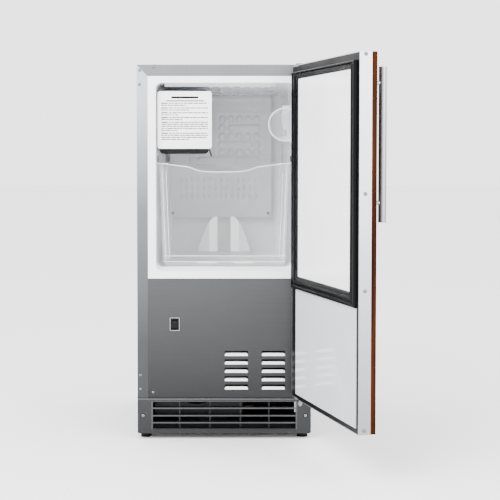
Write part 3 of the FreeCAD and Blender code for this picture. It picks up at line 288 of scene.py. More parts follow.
# The louvre grille gets painted shade that darkens it deeper into its recesses.
louvre_grey = brushed(
    "louvre_grey", greys((0, 0.05), (1, 0.07)), (0, 0.09), 0.4, 0.5, "X", PAINTED_RECESS_SHADE
)
silver = brushed("edge_silver", greys((0, 0.30), (1, 0.62)), (0.1, 0.8), 0.35, 0.7)
tube_steel = brushed("tube_steel", greys((0, 0.36), (1, 0.46)), (0.48, 0.77), 0.44, 1.0)
galvanised = plain_metal("galvanised", (0.55, 0.56, 0.58), 0.42, 55.0)
bright = plain_metal("bright_steel", (0.46, 0.465, 0.475), 0.25)
screw_steel = plain_metal("screw_steel", (0.22, 0.225, 0.235), 0.28)
fixing_grey = plain_metal("fixing_grey", (0.085, 0.087, 0.092), 0.35)
aluminium = plain_metal("mould_aluminium", (0.62, 0.63, 0.64), 0.34)
copper = plain_metal("drawn_copper", (0.30, 0.13, 0.07), 0.4)
enamel = plastic("black_enamel", (0.004, 0.004, 0.0045), 0.3, shine=0.2)
white_gloss = plastic("liner_white", (0.88, 0.89, 0.90), 0.22)
white_cover = plastic("cover_white", (0.93, 0.93, 0.93), 0.4)
# The door's lower panel is white plastic; its mid grey colour is painted shade.
shaded_white_panel = plastic("door_panel_white_painted_shade", (0.52, 0.53, 0.55), 0.1, 1400.0, 0.00001)
white_window = plastic("door_window_white", (0.88, 0.885, 0.89), 0.2)
black = plastic("black_plastic", (0.003, 0.003, 0.0035), 0.42, 700.0, 0.00005, 0.2)
black_gloss = plastic("rocker_black", (0.002, 0.002, 0.0025), 0.3, shine=0.15)
# The louvre faces are pressed from the panel's steel; their near white colour is a painted
# highlight.
blade_painted_highlight = plastic("louvre_painted_highlight", (0.86, 0.865, 0.87), 0.3)
pan_dark = plastic("pan_dark", (0.004, 0.004, 0.0045), 0.6, shine=0.1)
# The door's inner frame is stainless steel; its near black colour is painted shade.
frame_painted_shade = plastic("door_frame_shade_paint", (0.003, 0.0032, 0.0038), 0.4, shine=0.1)
rubber = plastic("black_rubber", (0.0012, 0.0012, 0.0015), 0.3, 1200.0, 0.00001, 0.08)
foam = plastic("rigid_foam", (0.80, 0.70, 0.42), 0.9, 420.0, 0.0004)
roll_bond = plastic("roll_bond_paint", (0.60, 0.61, 0.635), 0.26, 600.0, 0.00003)
clear_bin = clear("bin_clear", (0.93, 0.95, 0.97), 0.03, 0.8)
clear_scoop = clear("scoop_clear", (0.88, 0.90, 0.92), 0.12, 0.85)
# Near opaque white on the clear rims and edge lines: a painted highlight.
bead_painted_highlight = clear("bead_painted_highlight", (0.98, 0.99, 1.0), 0.85, 0.97, 0.12)
# Frosted white for the bin's sails is painted reflection.
pale_sail_reflection = clear("sail_reflection_pale_paint", (0.98, 0.99, 1.0), 0.55, 0.85, 0.5)
strong_sail_reflection = clear("sail_reflection_strong_paint", (1.0, 1.0, 1.0), 0.92, 0.98, 0.5)
wood = stained_wood("stained_wood")
bar_ink = plastic("label_grey", (0.008, 0.008, 0.009), 0.7, shine=0.05)

FINISH = {
    steel: ["cabinet_wrap"],
    panel_grey: ["front_panel"],
    kick_grey: ["kick_plate"],
    louvre_grey: ["kick_louvre"],
    pan_dark: ["base_pan", "compartment_deck"],
    silver: ["door_edge_free", "door_edge_channel"],
    tube_steel: ["handle_bar", "handle_posts"],
    galvanised: ["rear_panel", "rear_cover", "icemaker_bracket", "control_box", "fan_motor"]
    + ["door_skin", "door_hinge_plates"],
    bright: ["hinge_pins", "mould_heater"],
    screw_steel: ["hinge_brackets"],
    fixing_grey: ["liner_fixings", "shutoff_arm"],
    aluminium: ["icemaker_mould"],
    copper: ["refrigerant_lines", "filter_drier"],
    enamel: ["compressor", "condenser_coil"],
    white_gloss: ["inner_liner", "fill_cup", "scoop_hook", "water_valve", "water_tube"],
    white_cover: ["icemaker_cover"],
    shaded_white_panel: ["door_lower_panel"],
    white_window: ["door_window_panel"],
    black: ["icemaker_housing", "ejector_rake", "ice_stripper", "fan_shroud", "fan_blade"],
    black_gloss: ["switch_bezel", "switch_rocker", "terminal_cover", "cord_gland"],
    frame_painted_shade: ["door_inner_frame"],
    rubber: ["compressor_mounts", "hinge_bushes"],
    foam: ["insulation_foam", "door_foam"],
    wood: ["wood_panel"],
}
FEET = [name for name in nodes if name.startswith("levelling_foot")]


def finish_node(name, material):
    """Give a CAD piece its material and smooth shading, with edges over 32 degrees kept sharp."""
    item = nodes[name]
    item.data.materials.clear()
    item.data.materials.append(material)
    for face in item.data.polygons:
        face.use_smooth = True
        face.material_index = 0
    item.data.set_sharp_from_angle(angle=math.radians(32))


def soften(name, width, segments=2):
    """Round the edges of a CAD piece with a bevel that stays inside it."""
    bevel = nodes[name].modifiers.new("edges", "BEVEL")
    bevel.width = width
    bevel.segments = segments
    bevel.limit_method = "ANGLE"
    bevel.angle_limit = math.radians(40)
    bevel.use_clamp_overlap = True


for material, names in FINISH.items():
    for name in names:
        finish_node(name, material)
for name in FEET:
    finish_node(name, rubber)
    soften(name, 0.0012)
for name in ("wood_panel", "door_edge_free", "handle_bar", "icemaker_cover", "kick_plate"):
    soften(name, 0.0008)
for name in ("switch_bezel", "switch_rocker", "icemaker_housing", "scoop_hook", "door_lower_panel"):
    soften(name, 0.0005)


# ---------------------------------------------------------------- mesh tools


def shares(count, first=0):
    """Even shares of the way from 0 to 1, from the given step on."""
    return [k / count for k in range(first, count + 1)]


def quarter(count, first=0):
    """Even angles from 0 to a quarter turn, from the given step on."""
    return [math.pi / 2 * share for share in shares(count, first)]


def new_piece(name, verts, faces, material, body, swing=False):
    """A mesh piece that rides on a body. With swing, it was drawn on the shut door."""
    mesh = bpy.data.meshes.new(name)
    if swing:
        verts = [SWING @ Vector(v) for v in verts]
    mesh.from_pydata([tuple(v) for v in verts], [], faces)
    mesh.materials.append(material)
    mesh.validate()
    mesh.update()
    for face in mesh.polygons:
        face.use_smooth = True
    mesh.set_sharp_from_angle(angle=math.radians(34))
    item = bpy.data.objects.new(name, mesh)
    bpy.context.scene.collection.objects.link(item)
    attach(item, body)
    return item


def skin(loops, caps=True):
    """Vertices and faces of a tube through loops of equal length, with a cap at each end."""
    count = len(loops[0])
    verts = [point for loop in loops for point in loop]
    faces = []
    for row in range(len(loops) - 1):
        for i in range(count):
            after = (i + 1) % count
            low = row * count
            faces.append((low + i, low + after, low + count + after, low + count + i))
    if caps:
        last = (len(loops) - 1) * count
        faces.append(tuple(reversed(range(count))))
        faces.append(tuple(range(last, last + count)))
    return verts, faces


def merge(parts):
    """Join several (verts, faces) pairs into one."""
    verts = []
    faces = []
    for more_verts, more_faces in parts:
        start = len(verts)
        verts += more_verts
        faces += [tuple(start + i for i in face) for face in more_faces]
    return verts, faces


def rings(centre, axis, profile, count, caps=True):
    """A turned shape with count sides; profile is (distance along axis, radius)."""
    axis = Vector(axis).normalized()
    side = axis.orthogonal().normalized()
    other = axis.cross(side)
    loops = []
    for along, radius in profile:
        loop = []
        for i in range(count):
            turn = 2 * math.pi * i / count
            spoke = side * math.cos(turn) + other * math.sin(turn)
            loop.append(Vector(centre) + axis * along + spoke * radius)
        loops.append(loop)
    return skin(loops, caps)


def block(low, high):
    """A box as a (verts, faces) pair."""
    plan = [(low[0], low[1]), (high[0], low[1]), (high[0], high[1]), (low[0], high[1])]
    return skin([[(x, y, z) for x, y in plan] for z in (low[2], high[2])])


def round_corners(points, radius, steps=7):
    """A plan outline whose corners are replaced by arcs."""
    out = []
    count = len(points)
    for i, corner in enumerate(points):
        before = (Vector(points[i - 1]) - Vector(corner)).normalized()
        after = (Vector(points[(i + 1) % count]) - Vector(corner)).normalized()
        half = before.angle(after) / 2
        reach = radius / math.tan(half)
        middle = Vector(corner) + (before + after).normalized() * radius / math.sin(half)
        start = Vector(corner) + before * reach - middle
        end = Vector(corner) + after * reach - middle
        sweep = start.angle_signed(end)
        for k in range(steps + 1):
            turned = Matrix.Rotation(-sweep * k / steps, 2) @ start
            out.append(tuple(middle + turned))
    return out


# ---------------------------------------------------------------- clear bin

BIN_LOW, BIN_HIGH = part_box("ice_bin")
BIN_TALL = BIN_HIGH[2] - BIN_LOW[2]
WALL = 2.5 * MM
RIM_OUT = 3 * MM
LEAN = 8 * MM  # the front and the sides lean out by this from bottom to rim
BACK_LEAN = 12 * MM
FRONT_HALF = BIN_HIGH[0] - RIM_OUT - LEAN  # half widths at the bottom
BACK_HALF = FRONT_HALF - 6 * MM
FRONT_WALL = BIN_LOW[1] + RIM_OUT  # places at the rim
BACK_WALL = BIN_HIGH[1] - RIM_OUT
PLAN_CORNER = 15 * MM
BOTTOM_ROUND = 9 * MM
FRONT_STEPS = 48
DIP_HALF = 70 * MM
DIP_MIDDLE = -3 * MM
DIP_DEPTH = 18 * MM
DIP_SHOULDER = 0.44  # share of the depth where the slopes meet the bowl
SLOPE_REACH = 0.88  # length of a slope, in half widths of the bowl
# The sails are painted reflections of light on the clear bin.
SAIL_FOOT = 15 * MM
SAIL_TALL = 83 * MM
SAIL_WIDE = 46 * MM
SAIL_INNER = 15.5 * MM


def dip_share(x):
    """How far the front rim is down: a slope from each corner, then a shallow bowl."""
    away = abs(x - DIP_MIDDLE) / DIP_HALF
    if away > 1:
        return DIP_SHOULDER * max(0.0, 1 - (away - 1) / SLOPE_REACH)
    return DIP_SHOULDER + (1 - DIP_SHOULDER) * (1 - away**4)


def bin_loop(z, shrink, sink=0.0):
    """One level of the bin: a trapezoid with round corners and a finely divided front."""
    level = (z - BIN_LOW[2]) / BIN_TALL
    front_half = FRONT_HALF + LEAN * level - shrink
    back_half = BACK_HALF + LEAN * level - shrink
    front = FRONT_WALL + LEAN * (1 - level) + shrink
    back = BACK_WALL - BACK_LEAN * (1 - level) - shrink
    plan = [(-front_half, front), (front_half, front), (back_half, back), (-back_half, back)]
    outline = round_corners(plan, PLAN_CORNER)
    loop = []
    for i, (x, y) in enumerate(outline):
        loop.append((x, y, z))
        after_x, after_y = outline[(i + 1) % len(outline)]
        if abs(y - front) < TINY and abs(after_y - front) < TINY and after_x > x:
            for k in range(1, FRONT_STEPS):
                spot = x + (after_x - x) * k / FRONT_STEPS
                loop.append((spot, y, z - sink * dip_share(spot)))
    return loop


def make_bin():
    """Bin with rounded bottom, tapered walls, rolled rim and a dipped front."""
    low, top = BIN_LOW[2], BIN_HIGH[2]
    middle = low + 0.5 * BIN_TALL
    inner_round = BOTTOM_ROUND - 1 * MM
    loops = []
    for turn in quarter(4):
        inset = BOTTOM_ROUND * (1 - math.sin(turn))
        loops.append(bin_loop(low + BOTTOM_ROUND * (1 - math.cos(turn)), inset))
    loops.append(bin_loop(middle, 0))
    for drop, shrink in ((3.2, 0), (2.4, -2.4), (1.2, -2.9), (0, -2.2), (0, 1.9), (1, 2.5)):
        loops.append(bin_loop(top - drop * MM, shrink * MM, DIP_DEPTH))
    loops.append(bin_loop(middle, WALL))
    for turn in reversed(quarter(4)):
        inset = WALL + inner_round * (1 - math.sin(turn))
        loops.append(bin_loop(low + WALL + inner_round * (1 - math.cos(turn)), inset))
    item = new_piece("bin_moulding", *skin(loops), clear_bin, "ice_bin")
    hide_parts("ice_bin")
    # The rim bead is near white as a painted highlight on the clear rim.
    rim = []
    for drop, shrink in ((1, -3), (0, -2.4), (0, -0.6), (1, 0)):
        rim.append(bin_loop(top - drop * MM, shrink * MM, DIP_DEPTH))
    edge = new_piece("bin_rim_bead", *skin(rim + rim[:1], False), bead_painted_highlight, "ice_bin")


def make_bin_edges():
    """Painted highlights along the bin's edges: two lines around the bottom and two up each front
    corner.
    """
    parts = []
    for height in (9.5, 22):
        loops = []
        for grow, up in ((0, 0), (0.5, 0.3), (0.5, 0.9), (0, 1.2)):
            loops.append(bin_loop(BIN_LOW[2] + (height + up) * MM, (0.1 - grow) * MM))
        parts.append(skin(loops + loops[:1], False))
    for sign in (-1, 1):
        for aside in (7 * MM, 15 * MM):
            loops = []
            for share in shares(12):
                level = 0.08 + 0.84 * share
                x = sign * (FRONT_HALF + LEAN * level - aside)
                y = FRONT_WALL + LEAN * (1 - level) - 0.4 * MM
                z = BIN_LOW[2] + level * BIN_TALL
                right, back = x + 0.8 * MM, y + 1 * MM
                loops.append([(x, y, z), (right, y, z), (right, back, z), (x, back, z)])
            parts.append(skin(loops))
    item = new_piece("bin_edge_highlights", *merge(parts), bead_painted_highlight, "ice_bin")


def back_face(z):
    """Depth of the inner face of the bin's back wall at a height."""
    level = (z - BIN_LOW[2]) / BIN_TALL
    return BACK_WALL - BACK_LEAN * (1 - level) - WALL


def sail(sign, reach, far, near):
    """Half an arch of painted reflection on the bin's back wall, from its straight inner edge
    outwards.
    """
    foot = BIN_LOW[2] + SAIL_FOOT
    foot_face = back_face(foot)
    loops = []
    for share in shares(24):
        x = sign * (SAIL_INNER + SAIL_WIDE * reach * share)
        z = foot + SAIL_TALL * (1 - (reach * share) ** 2)
        upper = [(x, back_face(z) - near, z), (x, back_face(z) - far, z)]
        loops.append(upper + [(x, foot_face - far, foot), (x, foot_face - near, foot)])
    return skin(loops)


def make_sail_reflections():
    """Two mirrored sails of painted reflection on the bin's back wall, and their feet at the front.
    """
    pale = merge([sail(sign, 1.0, 0.4 * MM, 1.2 * MM) for sign in (-1, 1)])
    item = new_piece("bin_sail_reflection_pale", *pale, pale_sail_reflection, "ice_bin")
    strong = [sail(sign, 0.42, 1.3 * MM, 1.8 * MM) for sign in (-1, 1)]
    for left, right in ((-58, -16), (19, 62)):
        strong.append(block((left * MM, 33.4 * MM, 375 * MM), (right * MM, 34.2 * MM, 377.5 * MM)))
    item = new_piece("bin_sail_reflection_strong", *merge(strong), strong_sail_reflection, "ice_bin")


# ---------------------------------------------------------------- evaporator plate

# The plate is worked out in millimetres and scaled when its mesh is made.
PLATE_SHEET = 1.6
PLATE_BEND = 14
CEILING_RISE = 7.5  # the forward part climbs by this from the bend to its tip
TIP_FOLD = 4.5  # the tip is folded up past the CAD sheet by this
RELIEF = 2.6
PAD_ROWS = ((693, 5), (673, 1), (652.5, 5), (615, 5))  # height and count
PADS = [(-4 + 20.2 * k, height) for height, count in PAD_ROWS for k in range(count)]
PADS += [(77, 633.5), (-74, 615), (-74, 597.5)]
PAD_RADIUS = 8.4
CHANNELS = ((9, 85, 673), (-14, 66.5, 633.5), (-62, 85, 597.5))  # left, right, height
CHANNEL_HALF = 7.2
DROP_ROWS = (512, 531, 550)
DROP_LEFT = -101
DROP_PITCH = 13.5
DROP_COUNT = 14
FLUTES_LEFT, FLUTES_RIGHT, FLUTES_BACK = -36, 100, 270
FLUTE_PITCH = 22.7
FLUTE_TALL = 1.6


def bump_round(x, z, middle_x, middle_z, radius):
    """A low dome with a raised edge, 1 at its highest and 0 outside."""
    away = math.hypot(x - middle_x, z - middle_z)
    if away >= radius:
        return 0.0
    return min(1.0, (radius - away) / (0.28 * radius)) * (0.75 + 0.25 * away / radius)


def bump_slot(x, z, left, right, middle_z, half):
    """A long channel with round ends."""
    return bump_round(x, z, min(max(x, left + half), right - half), middle_z, half)


def bump_drop(x, z):
    """Rows of small drops, each wider at its top."""
    index = round((x - DROP_LEFT) / DROP_PITCH)
    if not 0 <= index < DROP_COUNT:
        return 0.0
    aside = x - DROP_LEFT - DROP_PITCH * index
    best = 0.0
    for middle in DROP_ROWS:
        half_wide = max(1.2, 3.4 + 0.10 * (z - middle))
        away = math.hypot(aside / half_wide, (z - middle) / 7.4)
        best = max(best, min(1.0, (1 - away) * 2.2))
    return best


def bump_border(x, z):
    """A low ridge that runs around the pads as a rectangle with round corners."""
    across = max(abs(x - 38) - 52, 0)
    upwards = max(abs(z - 645) - 58, 0)
    away = abs(math.hypot(across, upwards) - 6)
    return 0.35 * max(0.0, 1 - away / 1.6)


def emboss(x, z):
    """Height of the pressed relief, from 0 to 1, on the upright part of the plate."""
    best = max(bump_drop(x, z), bump_border(x, z))
    for pad_x, pad_z in PADS:
        best = max(best, bump_round(x, z, pad_x, pad_z, PAD_RADIUS))
    for left, right, height in CHANNELS:
        best = max(best, bump_slot(x, z, left, right, height, CHANNEL_HALF))
    return best


def flute(x, y):
    """Height of the long flutes on the forward part, which fade out towards the bend."""
    if not FLUTES_LEFT < x < FLUTES_RIGHT:
        return 0.0
    wave = math.sin((x - FLUTES_LEFT) / FLUTE_PITCH * 2 * math.pi)
    return FLUTE_TALL * max(0.0, wave) * max(0.0, min(1.0, (FLUTES_BACK - y) / 14))


def plate_path(low, high):
    """The sheet's face from the side, bottom to tip: (y, z, outward y, outward z, part)."""
    face = high[1] - PLATE_SHEET
    ceiling = high[2] - PLATE_SHEET - CEILING_RISE
    bend_y, bend_z = face - PLATE_BEND, ceiling - PLATE_BEND
    path = []
    for share in shares(139):
        path.append((face, low[2] + (bend_z - low[2]) * share, -1.0, 0.0, "upright"))
    for turn in quarter(12, 1):
        out_y, out_z = -math.cos(turn), -math.sin(turn)
        y, z = bend_y - PLATE_BEND * out_y, bend_z - PLATE_BEND * out_z
        path.append((y, z, out_y, out_z, "bend"))
    for share in shares(59, 1):
        y = bend_y - (bend_y - low[1]) * share
        path.append((y, ceiling + CEILING_RISE * share, 0.0, -1.0, "ceiling"))
    path.append((low[1], high[2] + TIP_FOLD, -1.0, 0.0, "tip"))
    return path


def make_plate():
    """Roll-bonded plate: one sheet down the back, round the bend and forward with long flutes."""
    low, high = ([value / MM for value in corner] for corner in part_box("evaporator_plate"))
    path = plate_path(low, high)
    columns = 160
    front = []
    back = []
    for y, z, out_y, out_z, part in path:
        for share in shares(columns):
            x = low[0] + (high[0] - low[0]) * share
            rise = 0.0
            if part == "upright":
                rise = RELIEF * emboss(x, z)
            elif part == "ceiling":
                rise = flute(x, y)
            front.append((x * MM, (y + out_y * rise) * MM, (z + out_z * rise) * MM))
            back.append((x * MM, (y - out_y * 1.5) * MM, (z - out_z * 1.5) * MM))
    wide = columns + 1
    under = len(front)
    last = len(path) - 1
    faces = []
    for row in range(last):
        for a in range(row * wide, row * wide + columns):
            faces.append((a, a + 1, a + wide + 1, a + wide))
            faces.append((under + a, under + a + wide, under + a + wide + 1, under + a + 1))
        for a in (row * wide, row * wide + columns):
            faces.append((a, a + wide, under + a + wide, under + a))
    for row in (0, last):
        for a in range(row * wide, row * wide + columns):
            faces.append((a, a + 1, under + a + 1, under + a))
    item = new_piece("roll_bond_plate", front + back, faces, roll_bond, "cabinet")
    item.data.set_sharp_from_angle(angle=math.radians(60))
    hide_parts("evaporator_plate")


# ---------------------------------------------------------------- door gasket

GASKET_HALF = 176
GASKET_SIDE, GASKET_FOOT, GASKET_HEAD = 31, 26, 14.4
GASKET_BACK = -8
GASKET_LOW, GASKET_HIGH = 330, 780


def make_gasket():
    """Ribbed seal with mitred corners, drawn on the shut door and swung open with it."""
    profile = [(0, 0), (0, 4.6), (0.03, 6.4), (0.11, 7.4), (0.2, 7.5), (0.27, 6.6), (0.29, 4.6)]
    profile += [(0.33, 4.2), (0.38, 5.8), (0.44, 7.0), (0.55, 7.3), (0.63, 6.4), (0.67, 4.4)]
    profile += [(0.72, 4.0), (0.85, 3.8), (0.94, 2.8), (1, 0.2), (1, 0)]
    loops = []
    for share, rise in profile:
        x = (GASKET_HALF - GASKET_SIDE * share) * MM
        low = (GASKET_LOW + GASKET_FOOT * share) * MM
        high = (GASKET_HIGH - GASKET_HEAD * share) * MM
        y = (GASKET_BACK + rise) * MM
        loops.append([(-x, y, low), (x, y, low), (x, y, high), (-x, y, high)])
    gasket = skin(loops + loops[:1], False)
    item = new_piece("gasket_profile", *gasket, rubber, "door", swing=True)
    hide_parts("door_gasket")


# ---------------------------------------------------------------- scoop


def make_scoop():
    """Clear round scoop: a cup with a beaded mouth and a short round handle."""
    low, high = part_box("ice_scoop")
    radius = (high[0] - low[0]) / 2
    mouth = Vector(((high[0] + low[0]) / 2, low[1], high[2] - radius))
    outer_round, inner_round, bead_round = 12 * MM, 11 * MM, 1.1 * MM
    cup = [(0, radius - 1.6 * MM), (0, radius - 0.5 * MM), (1.2 * MM, radius)]
    cup.append((30 * MM, radius * 0.985))
    for turn in quarter(6, 1):
        inset = outer_round * (1 - math.cos(turn))
        cup.append((38 * MM + outer_round * math.sin(turn), radius * 0.97 - inset))
    cup += [(50 * MM, 7 * MM), (48 * MM, 1 * MM), (48 * MM, radius * 0.66)]
    for turn in reversed(quarter(6)[:-1]):
        inset = inner_round * (1 - math.cos(turn))
        cup.append((37 * MM + inner_round * math.sin(turn), radius * 0.93 - inset))
    cup += [(30 * MM, radius * 0.93), (0.4 * MM, radius - 2 * MM)]
    shell = rings(mouth, INWARD, cup + cup[:1], 48, caps=False)
    handle = [(0, 5.9 * MM), (70 * MM, 5.6 * MM), (75.5 * MM, 4 * MM)]
    grip = rings(mouth + Vector((0, 47 * MM, -17.7 * MM)), INWARD, handle, 24)
    item = new_piece("scoop_cup", *merge([shell, grip]), clear_scoop, "scoop")
    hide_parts("ice_scoop")
    bead = []
    for share in shares(8):
        turn = 2 * math.pi * share
        inset = 1.2 * MM - bead_round * math.sin(turn)
        bead.append((bead_round * (1 - math.cos(turn)), radius - inset))
    # The mouth's bead is near white as a painted highlight on the clear rim.
    edge_mesh = rings(mouth, INWARD, bead, 64, caps=False)
    edge = new_piece("scoop_bead", *edge_mesh, bead_painted_highlight, "scoop")


# ---------------------------------------------------------------- screws, label, small parts

FLANGE_SCREWS = [(-179.8, height) for height in (788, 758, 137.4, 107.2)]
FLANGE_SCREWS += [(-150, 795.2), (-152.5, 100.2)]
KICK_SCREWS = [(-174, 50.3), (174, 50.3)]
REAR_SCREWS = [(x, z) for x in (-172, 172) for z in (60, 295)]
EDGE_SCREWS = (106, 361, 538, 790)
NARROW_WASHER, WIDE_WASHER = 1.25, 1.6  # radii, in radii of the head


def screw_head(centre, axis, radius, height):
    """A domed head that stands on its washer."""
    head = [(0, radius), (0.35 * height, radius * 0.98)]
    for turn in quarter(5, 1):
        along = height * (0.35 + 0.65 * math.sin(turn))
        head.append((along, radius * 0.98 * math.cos(turn) + 0.04 * MM))
    return rings(centre, axis, head, 24)


def cross_bars(centre, axis, radius, height):
    """Two dark bars at the top of the dome, painted shade that reads as a cross recess."""
    axis = Vector(axis).normalized()
    side = axis.orthogonal().normalized()
    other = axis.cross(side)
    parts = []
    for along, across in ((side, other), (other, side)):
        loop_low = []
        loop_high = []
        for a, b in ((-1, -1), (1, -1), (1, 1), (-1, 1)):
            spot = Vector(centre) + along * a * radius * 0.5 + across * b * radius * 0.12
            loop_low.append(spot + axis * height * 0.7)
            loop_high.append(spot + axis * height)
        parts.append(skin([loop_low, loop_high]))
    return parts


def washer(spot, growth):
    """A thin dark ring under a screw head."""
    centre, axis, radius = spot[:3]
    outer = radius * growth
    ring = [(0, outer), (0.15 * MM, outer * 0.98), (0.25 * MM, radius * 0.9), (0.25 * MM, 1 * MM)]
    return rings(centre, axis, ring, 28)


def make_screws():
    """All visible screw heads, with dark bars of painted shade for their cross recesses, and
    washers.
    """
    kick_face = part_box("kick_plate")[0][1]
    case_back = CASE_HIGH[1]
    flange = [((x * MM, 0, z * MM), OUTWARD, 2.6 * MM, 1.5 * MM) for x, z in FLANGE_SCREWS]
    kick = [((x * MM, kick_face, z * MM), OUTWARD, 3.2 * MM, 1.5 * MM) for x, z in KICK_SCREWS]
    rear = [((x * MM, case_back, z * MM), INWARD, 3.4 * MM, 1.7 * MM) for x, z in REAR_SCREWS]
    heads = merge([screw_head(*spot) for spot in flange + kick + rear])
    crosses = merge([bar for spot in flange + kick + rear for bar in cross_bars(*spot)])
    washers = [washer(spot, NARROW_WASHER) for spot in flange + rear]
    washers += [washer(spot, WIDE_WASHER) for spot in kick]
    item = new_piece("case_screw_heads", *heads, screw_steel, "cabinet")
    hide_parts("case_screws")
    new_piece("case_screw_recess_shade", *crosses, black, "cabinet")
    new_piece("case_screw_washers", *merge(washers), black, "cabinet")

    edge_x = -CASE_HIGH[0]
    door = [((edge_x, -20 * MM, z * MM), (-1, 0, 0), 3 * MM, 1.4 * MM) for z in EDGE_SCREWS]
    heads = merge([screw_head(*spot) for spot in door])
    crosses = merge([bar for spot in door for bar in cross_bars(*spot)])
    washers = merge([washer(spot, NARROW_WASHER) for spot in door])
    item = new_piece("edge_screw_heads", *heads, screw_steel, "door", swing=True)
    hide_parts("door_edge_screws")
    new_piece("edge_screw_washers", *washers, black, "door", swing=True)
    new_piece("edge_screw_recess_shade", *crosses, black, "door", swing=True)


PARAGRAPHS = (2, 2, 2, 2, 5, 4)  # rows in each
ROW_PITCH = 4.4 * MM
PARAGRAPH_GAP = 1.4 * MM
ROW_INDENT = 16 * MM


def make_label():
    """Plain grey bars on the ice maker's cover: a heading and rows, with no lettering."""
    low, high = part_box("icemaker_cover")
    front = low[1] - 0.02 * MM
    left = low[0] + 8 * MM
    right = high[0] - 7 * MM
    wide = right - left
    parts = []

    def bar(start, end, z, tall):
        parts.append(block((start, front - 0.06 * MM, z), (end, front + 0.3 * MM, z + tall)))

    middle = (left + right) / 2
    bar(middle - 29 * MM, middle + 29 * MM, high[2] - 15.6 * MM, 4.4 * MM)
    bar(middle - 40 * MM, middle + 41 * MM, high[2] - 22 * MM, 2.4 * MM)
    z = high[2] - 27 * MM
    for rows in PARAGRAPHS:
        for row in range(rows):
            end = right if row < rows - 1 else left + wide * random.uniform(0.3, 0.75)
            start = left
            if row == 0:
                bar(left, left + ROW_INDENT - 2 * MM, z, 2.4 * MM)
                start = left + ROW_INDENT
            while start < end - 4 * MM:
                stop = min(end, start + random.uniform(5, 13) * MM)
                bar(start, stop - 1.3 * MM, z + 0.2 * MM, 2.0 * MM)
                start = stop
            z -= ROW_PITCH
        z -= PARAGRAPH_GAP
    item = new_piece("cover_bars", *merge(parts), bar_ink, "cabinet")


def make_bezel_rim():
    """A thin bright outline around the rocker's bezel."""
    low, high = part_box("switch_bezel")
    loops = []
    for grow, behind in ((0.4, 0.9), (0.4, -0.2), (-0.3, -0.2), (-0.3, 0.9)):
        x_low, x_high = low[0] - grow * MM, high[0] + grow * MM
        z_low, z_high = low[2] - grow * MM, high[2] + grow * MM
        y = low[1] + behind * MM
        below = [(x_low, y, z_low), (x_high, y, z_low)]
        loops.append(below + [(x_high, y, z_high), (x_low, y, z_high)])
    rim = skin(loops + loops[:1], False)
    item = new_piece("bezel_rim", *rim, galvanised, "cabinet")


def make_kick_highlight():
    """Rolled edge along the top of the kick plate, in bright silver as a painted highlight."""
    low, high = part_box("kick_plate")
    inset, radius = 0.7 * MM, 0.8 * MM
    loops = []
    for x in (low[0] + 0.4 * MM, high[0] - 36 * MM):
        loop = []
        for k in range(10):
            turn = 2 * math.pi * k / 10
            y = low[1] + inset - radius * math.cos(turn)
            z = high[2] - inset + radius * math.sin(turn)
            loop.append((x, y, z))
        loops.append(loop)
    item = new_piece("kick_plate_painted_highlight", *skin(loops), silver, "cabinet")


LOUVRE_COLUMNS = ((1.1, 50.5), (80.4, 129.8))
LOUVRE_ROWS = 5
LOUVRE_FOOT = 178.2  # bottom of the highest slot
LOUVRE_PITCH = 18.1
BLADE_TALL = 6.2
BLADE_DEEP = 3.4
BLADE_SHEET = 0.7


def make_blades():
    """Rolled faces of the inward louvres, one in each slot of the front panel, coloured near white
    as a painted highlight on the steel.
    """
    curve = []
    for turn in quarter(8):
        curve.append((0.3 + BLADE_DEEP * (1 - math.cos(turn)), BLADE_TALL * math.sin(turn)))
    parts = []
    for left, right in LOUVRE_COLUMNS:
        for row in range(LOUVRE_ROWS):
            foot = LOUVRE_FOOT - LOUVRE_PITCH * row
            loops = []
            for share in shares(16):
                x = left + 0.2 + (right - left - 0.4) * share
                squeeze = min(1.0, math.sqrt(min(share, 1 - share) * 30 + 0.55))
                ring = [(x, y, foot + rise * squeeze) for y, rise in curve]
                ring += [(x, y + BLADE_SHEET, z) for _, y, z in reversed(ring)]
                loops.append([tuple(value * MM for value in point) for point in ring])
            parts.append(skin(loops))
    item = new_piece("louvre_highlight_faces", *merge(parts), blade_painted_highlight, "cabinet")


make_bezel_rim()
make_kick_highlight()
make_blades()
make_bin_edges()
make_bin()
make_sail_reflections()
make_plate()
make_gasket()
make_scoop()
make_screws()
make_label()


# ---------------------------------------------------------------- studio

FLOOR_HALF, FLOOR_FRONT, FLOOR_BACK = 12, -8, 22
CAMERA_PLACE = (-0.0049, -2.564, 0.6065)
CAMERA_TILT = 2.39
CAMERA_LENS = 86.72
CAMERA_SHIFT = (0.056, -0.0876)


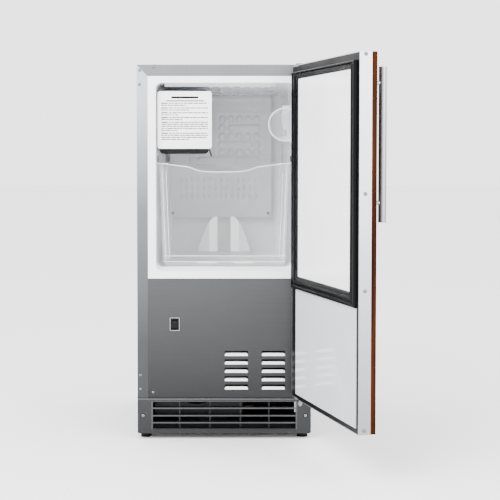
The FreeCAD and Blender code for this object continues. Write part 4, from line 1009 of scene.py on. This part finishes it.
def make_floor():
    """Pale floor that runs far behind the object."""
    paint = Paint("studio_floor", (0.92, 0.92, 0.92), 0.0, 0.7)
    paint.bump(paint.noise((1, 1, 1), 60.0), 0.0001, 0.2)
    near = [(-FLOOR_HALF, FLOOR_FRONT, 0), (FLOOR_HALF, FLOOR_FRONT, 0)]
    far = [(FLOOR_HALF, FLOOR_BACK, 0), (-FLOOR_HALF, FLOOR_BACK, 0)]
    mesh = bpy.data.meshes.new("studio_floor")
    mesh.from_pydata(near + far, [], [(0, 1, 2, 3)])
    mesh.materials.append(paint.material)
    floor = bpy.data.objects.new("studio_floor", mesh)
    bpy.context.scene.collection.objects.link(floor)


def add_light(name, place, target, size, power):
    """A rectangular soft light aimed at a point."""
    data = bpy.data.lights.new(name, "AREA")
    data.shape = "RECTANGLE"
    data.size = size[0]
    data.size_y = size[1]
    data.energy = power
    lamp = bpy.data.objects.new(name, data)
    lamp.location = place
    aim = Vector(target) - Vector(place)
    lamp.rotation_euler = aim.to_track_quat("-Z", "Y").to_euler()
    bpy.context.scene.collection.objects.link(lamp)


def make_camera():
    """Long lens near the middle. A slight tilt and a shift together keep uprights near parallel."""
    data = bpy.data.cameras.new("camera")
    data.lens = CAMERA_LENS
    data.sensor_width = 36
    data.shift_x, data.shift_y = CAMERA_SHIFT
    camera = bpy.data.objects.new("camera", data)
    camera.location = CAMERA_PLACE
    camera.rotation_euler = (math.radians(90 - CAMERA_TILT), 0, 0)
    bpy.context.scene.collection.objects.link(camera)
    bpy.context.scene.camera = camera


def make_world():
    """Even white surroundings."""
    world = bpy.data.worlds.new("studio")
    world.use_nodes = True
    background = world.node_tree.nodes["Background"]
    background.inputs["Color"].default_value = (1, 1, 1, 1)
    background.inputs["Strength"].default_value = 3.0
    bpy.context.scene.world = world


make_floor()
make_camera()
make_world()
add_light("key", (-1.4, -2.2, 2.4), (0, 0.1, 0.55), (1.6, 1.6), 160)
add_light("fill", (1.8, -2.0, 1.2), (0.2, -0.1, 0.5), (1.2, 2.0), 80)
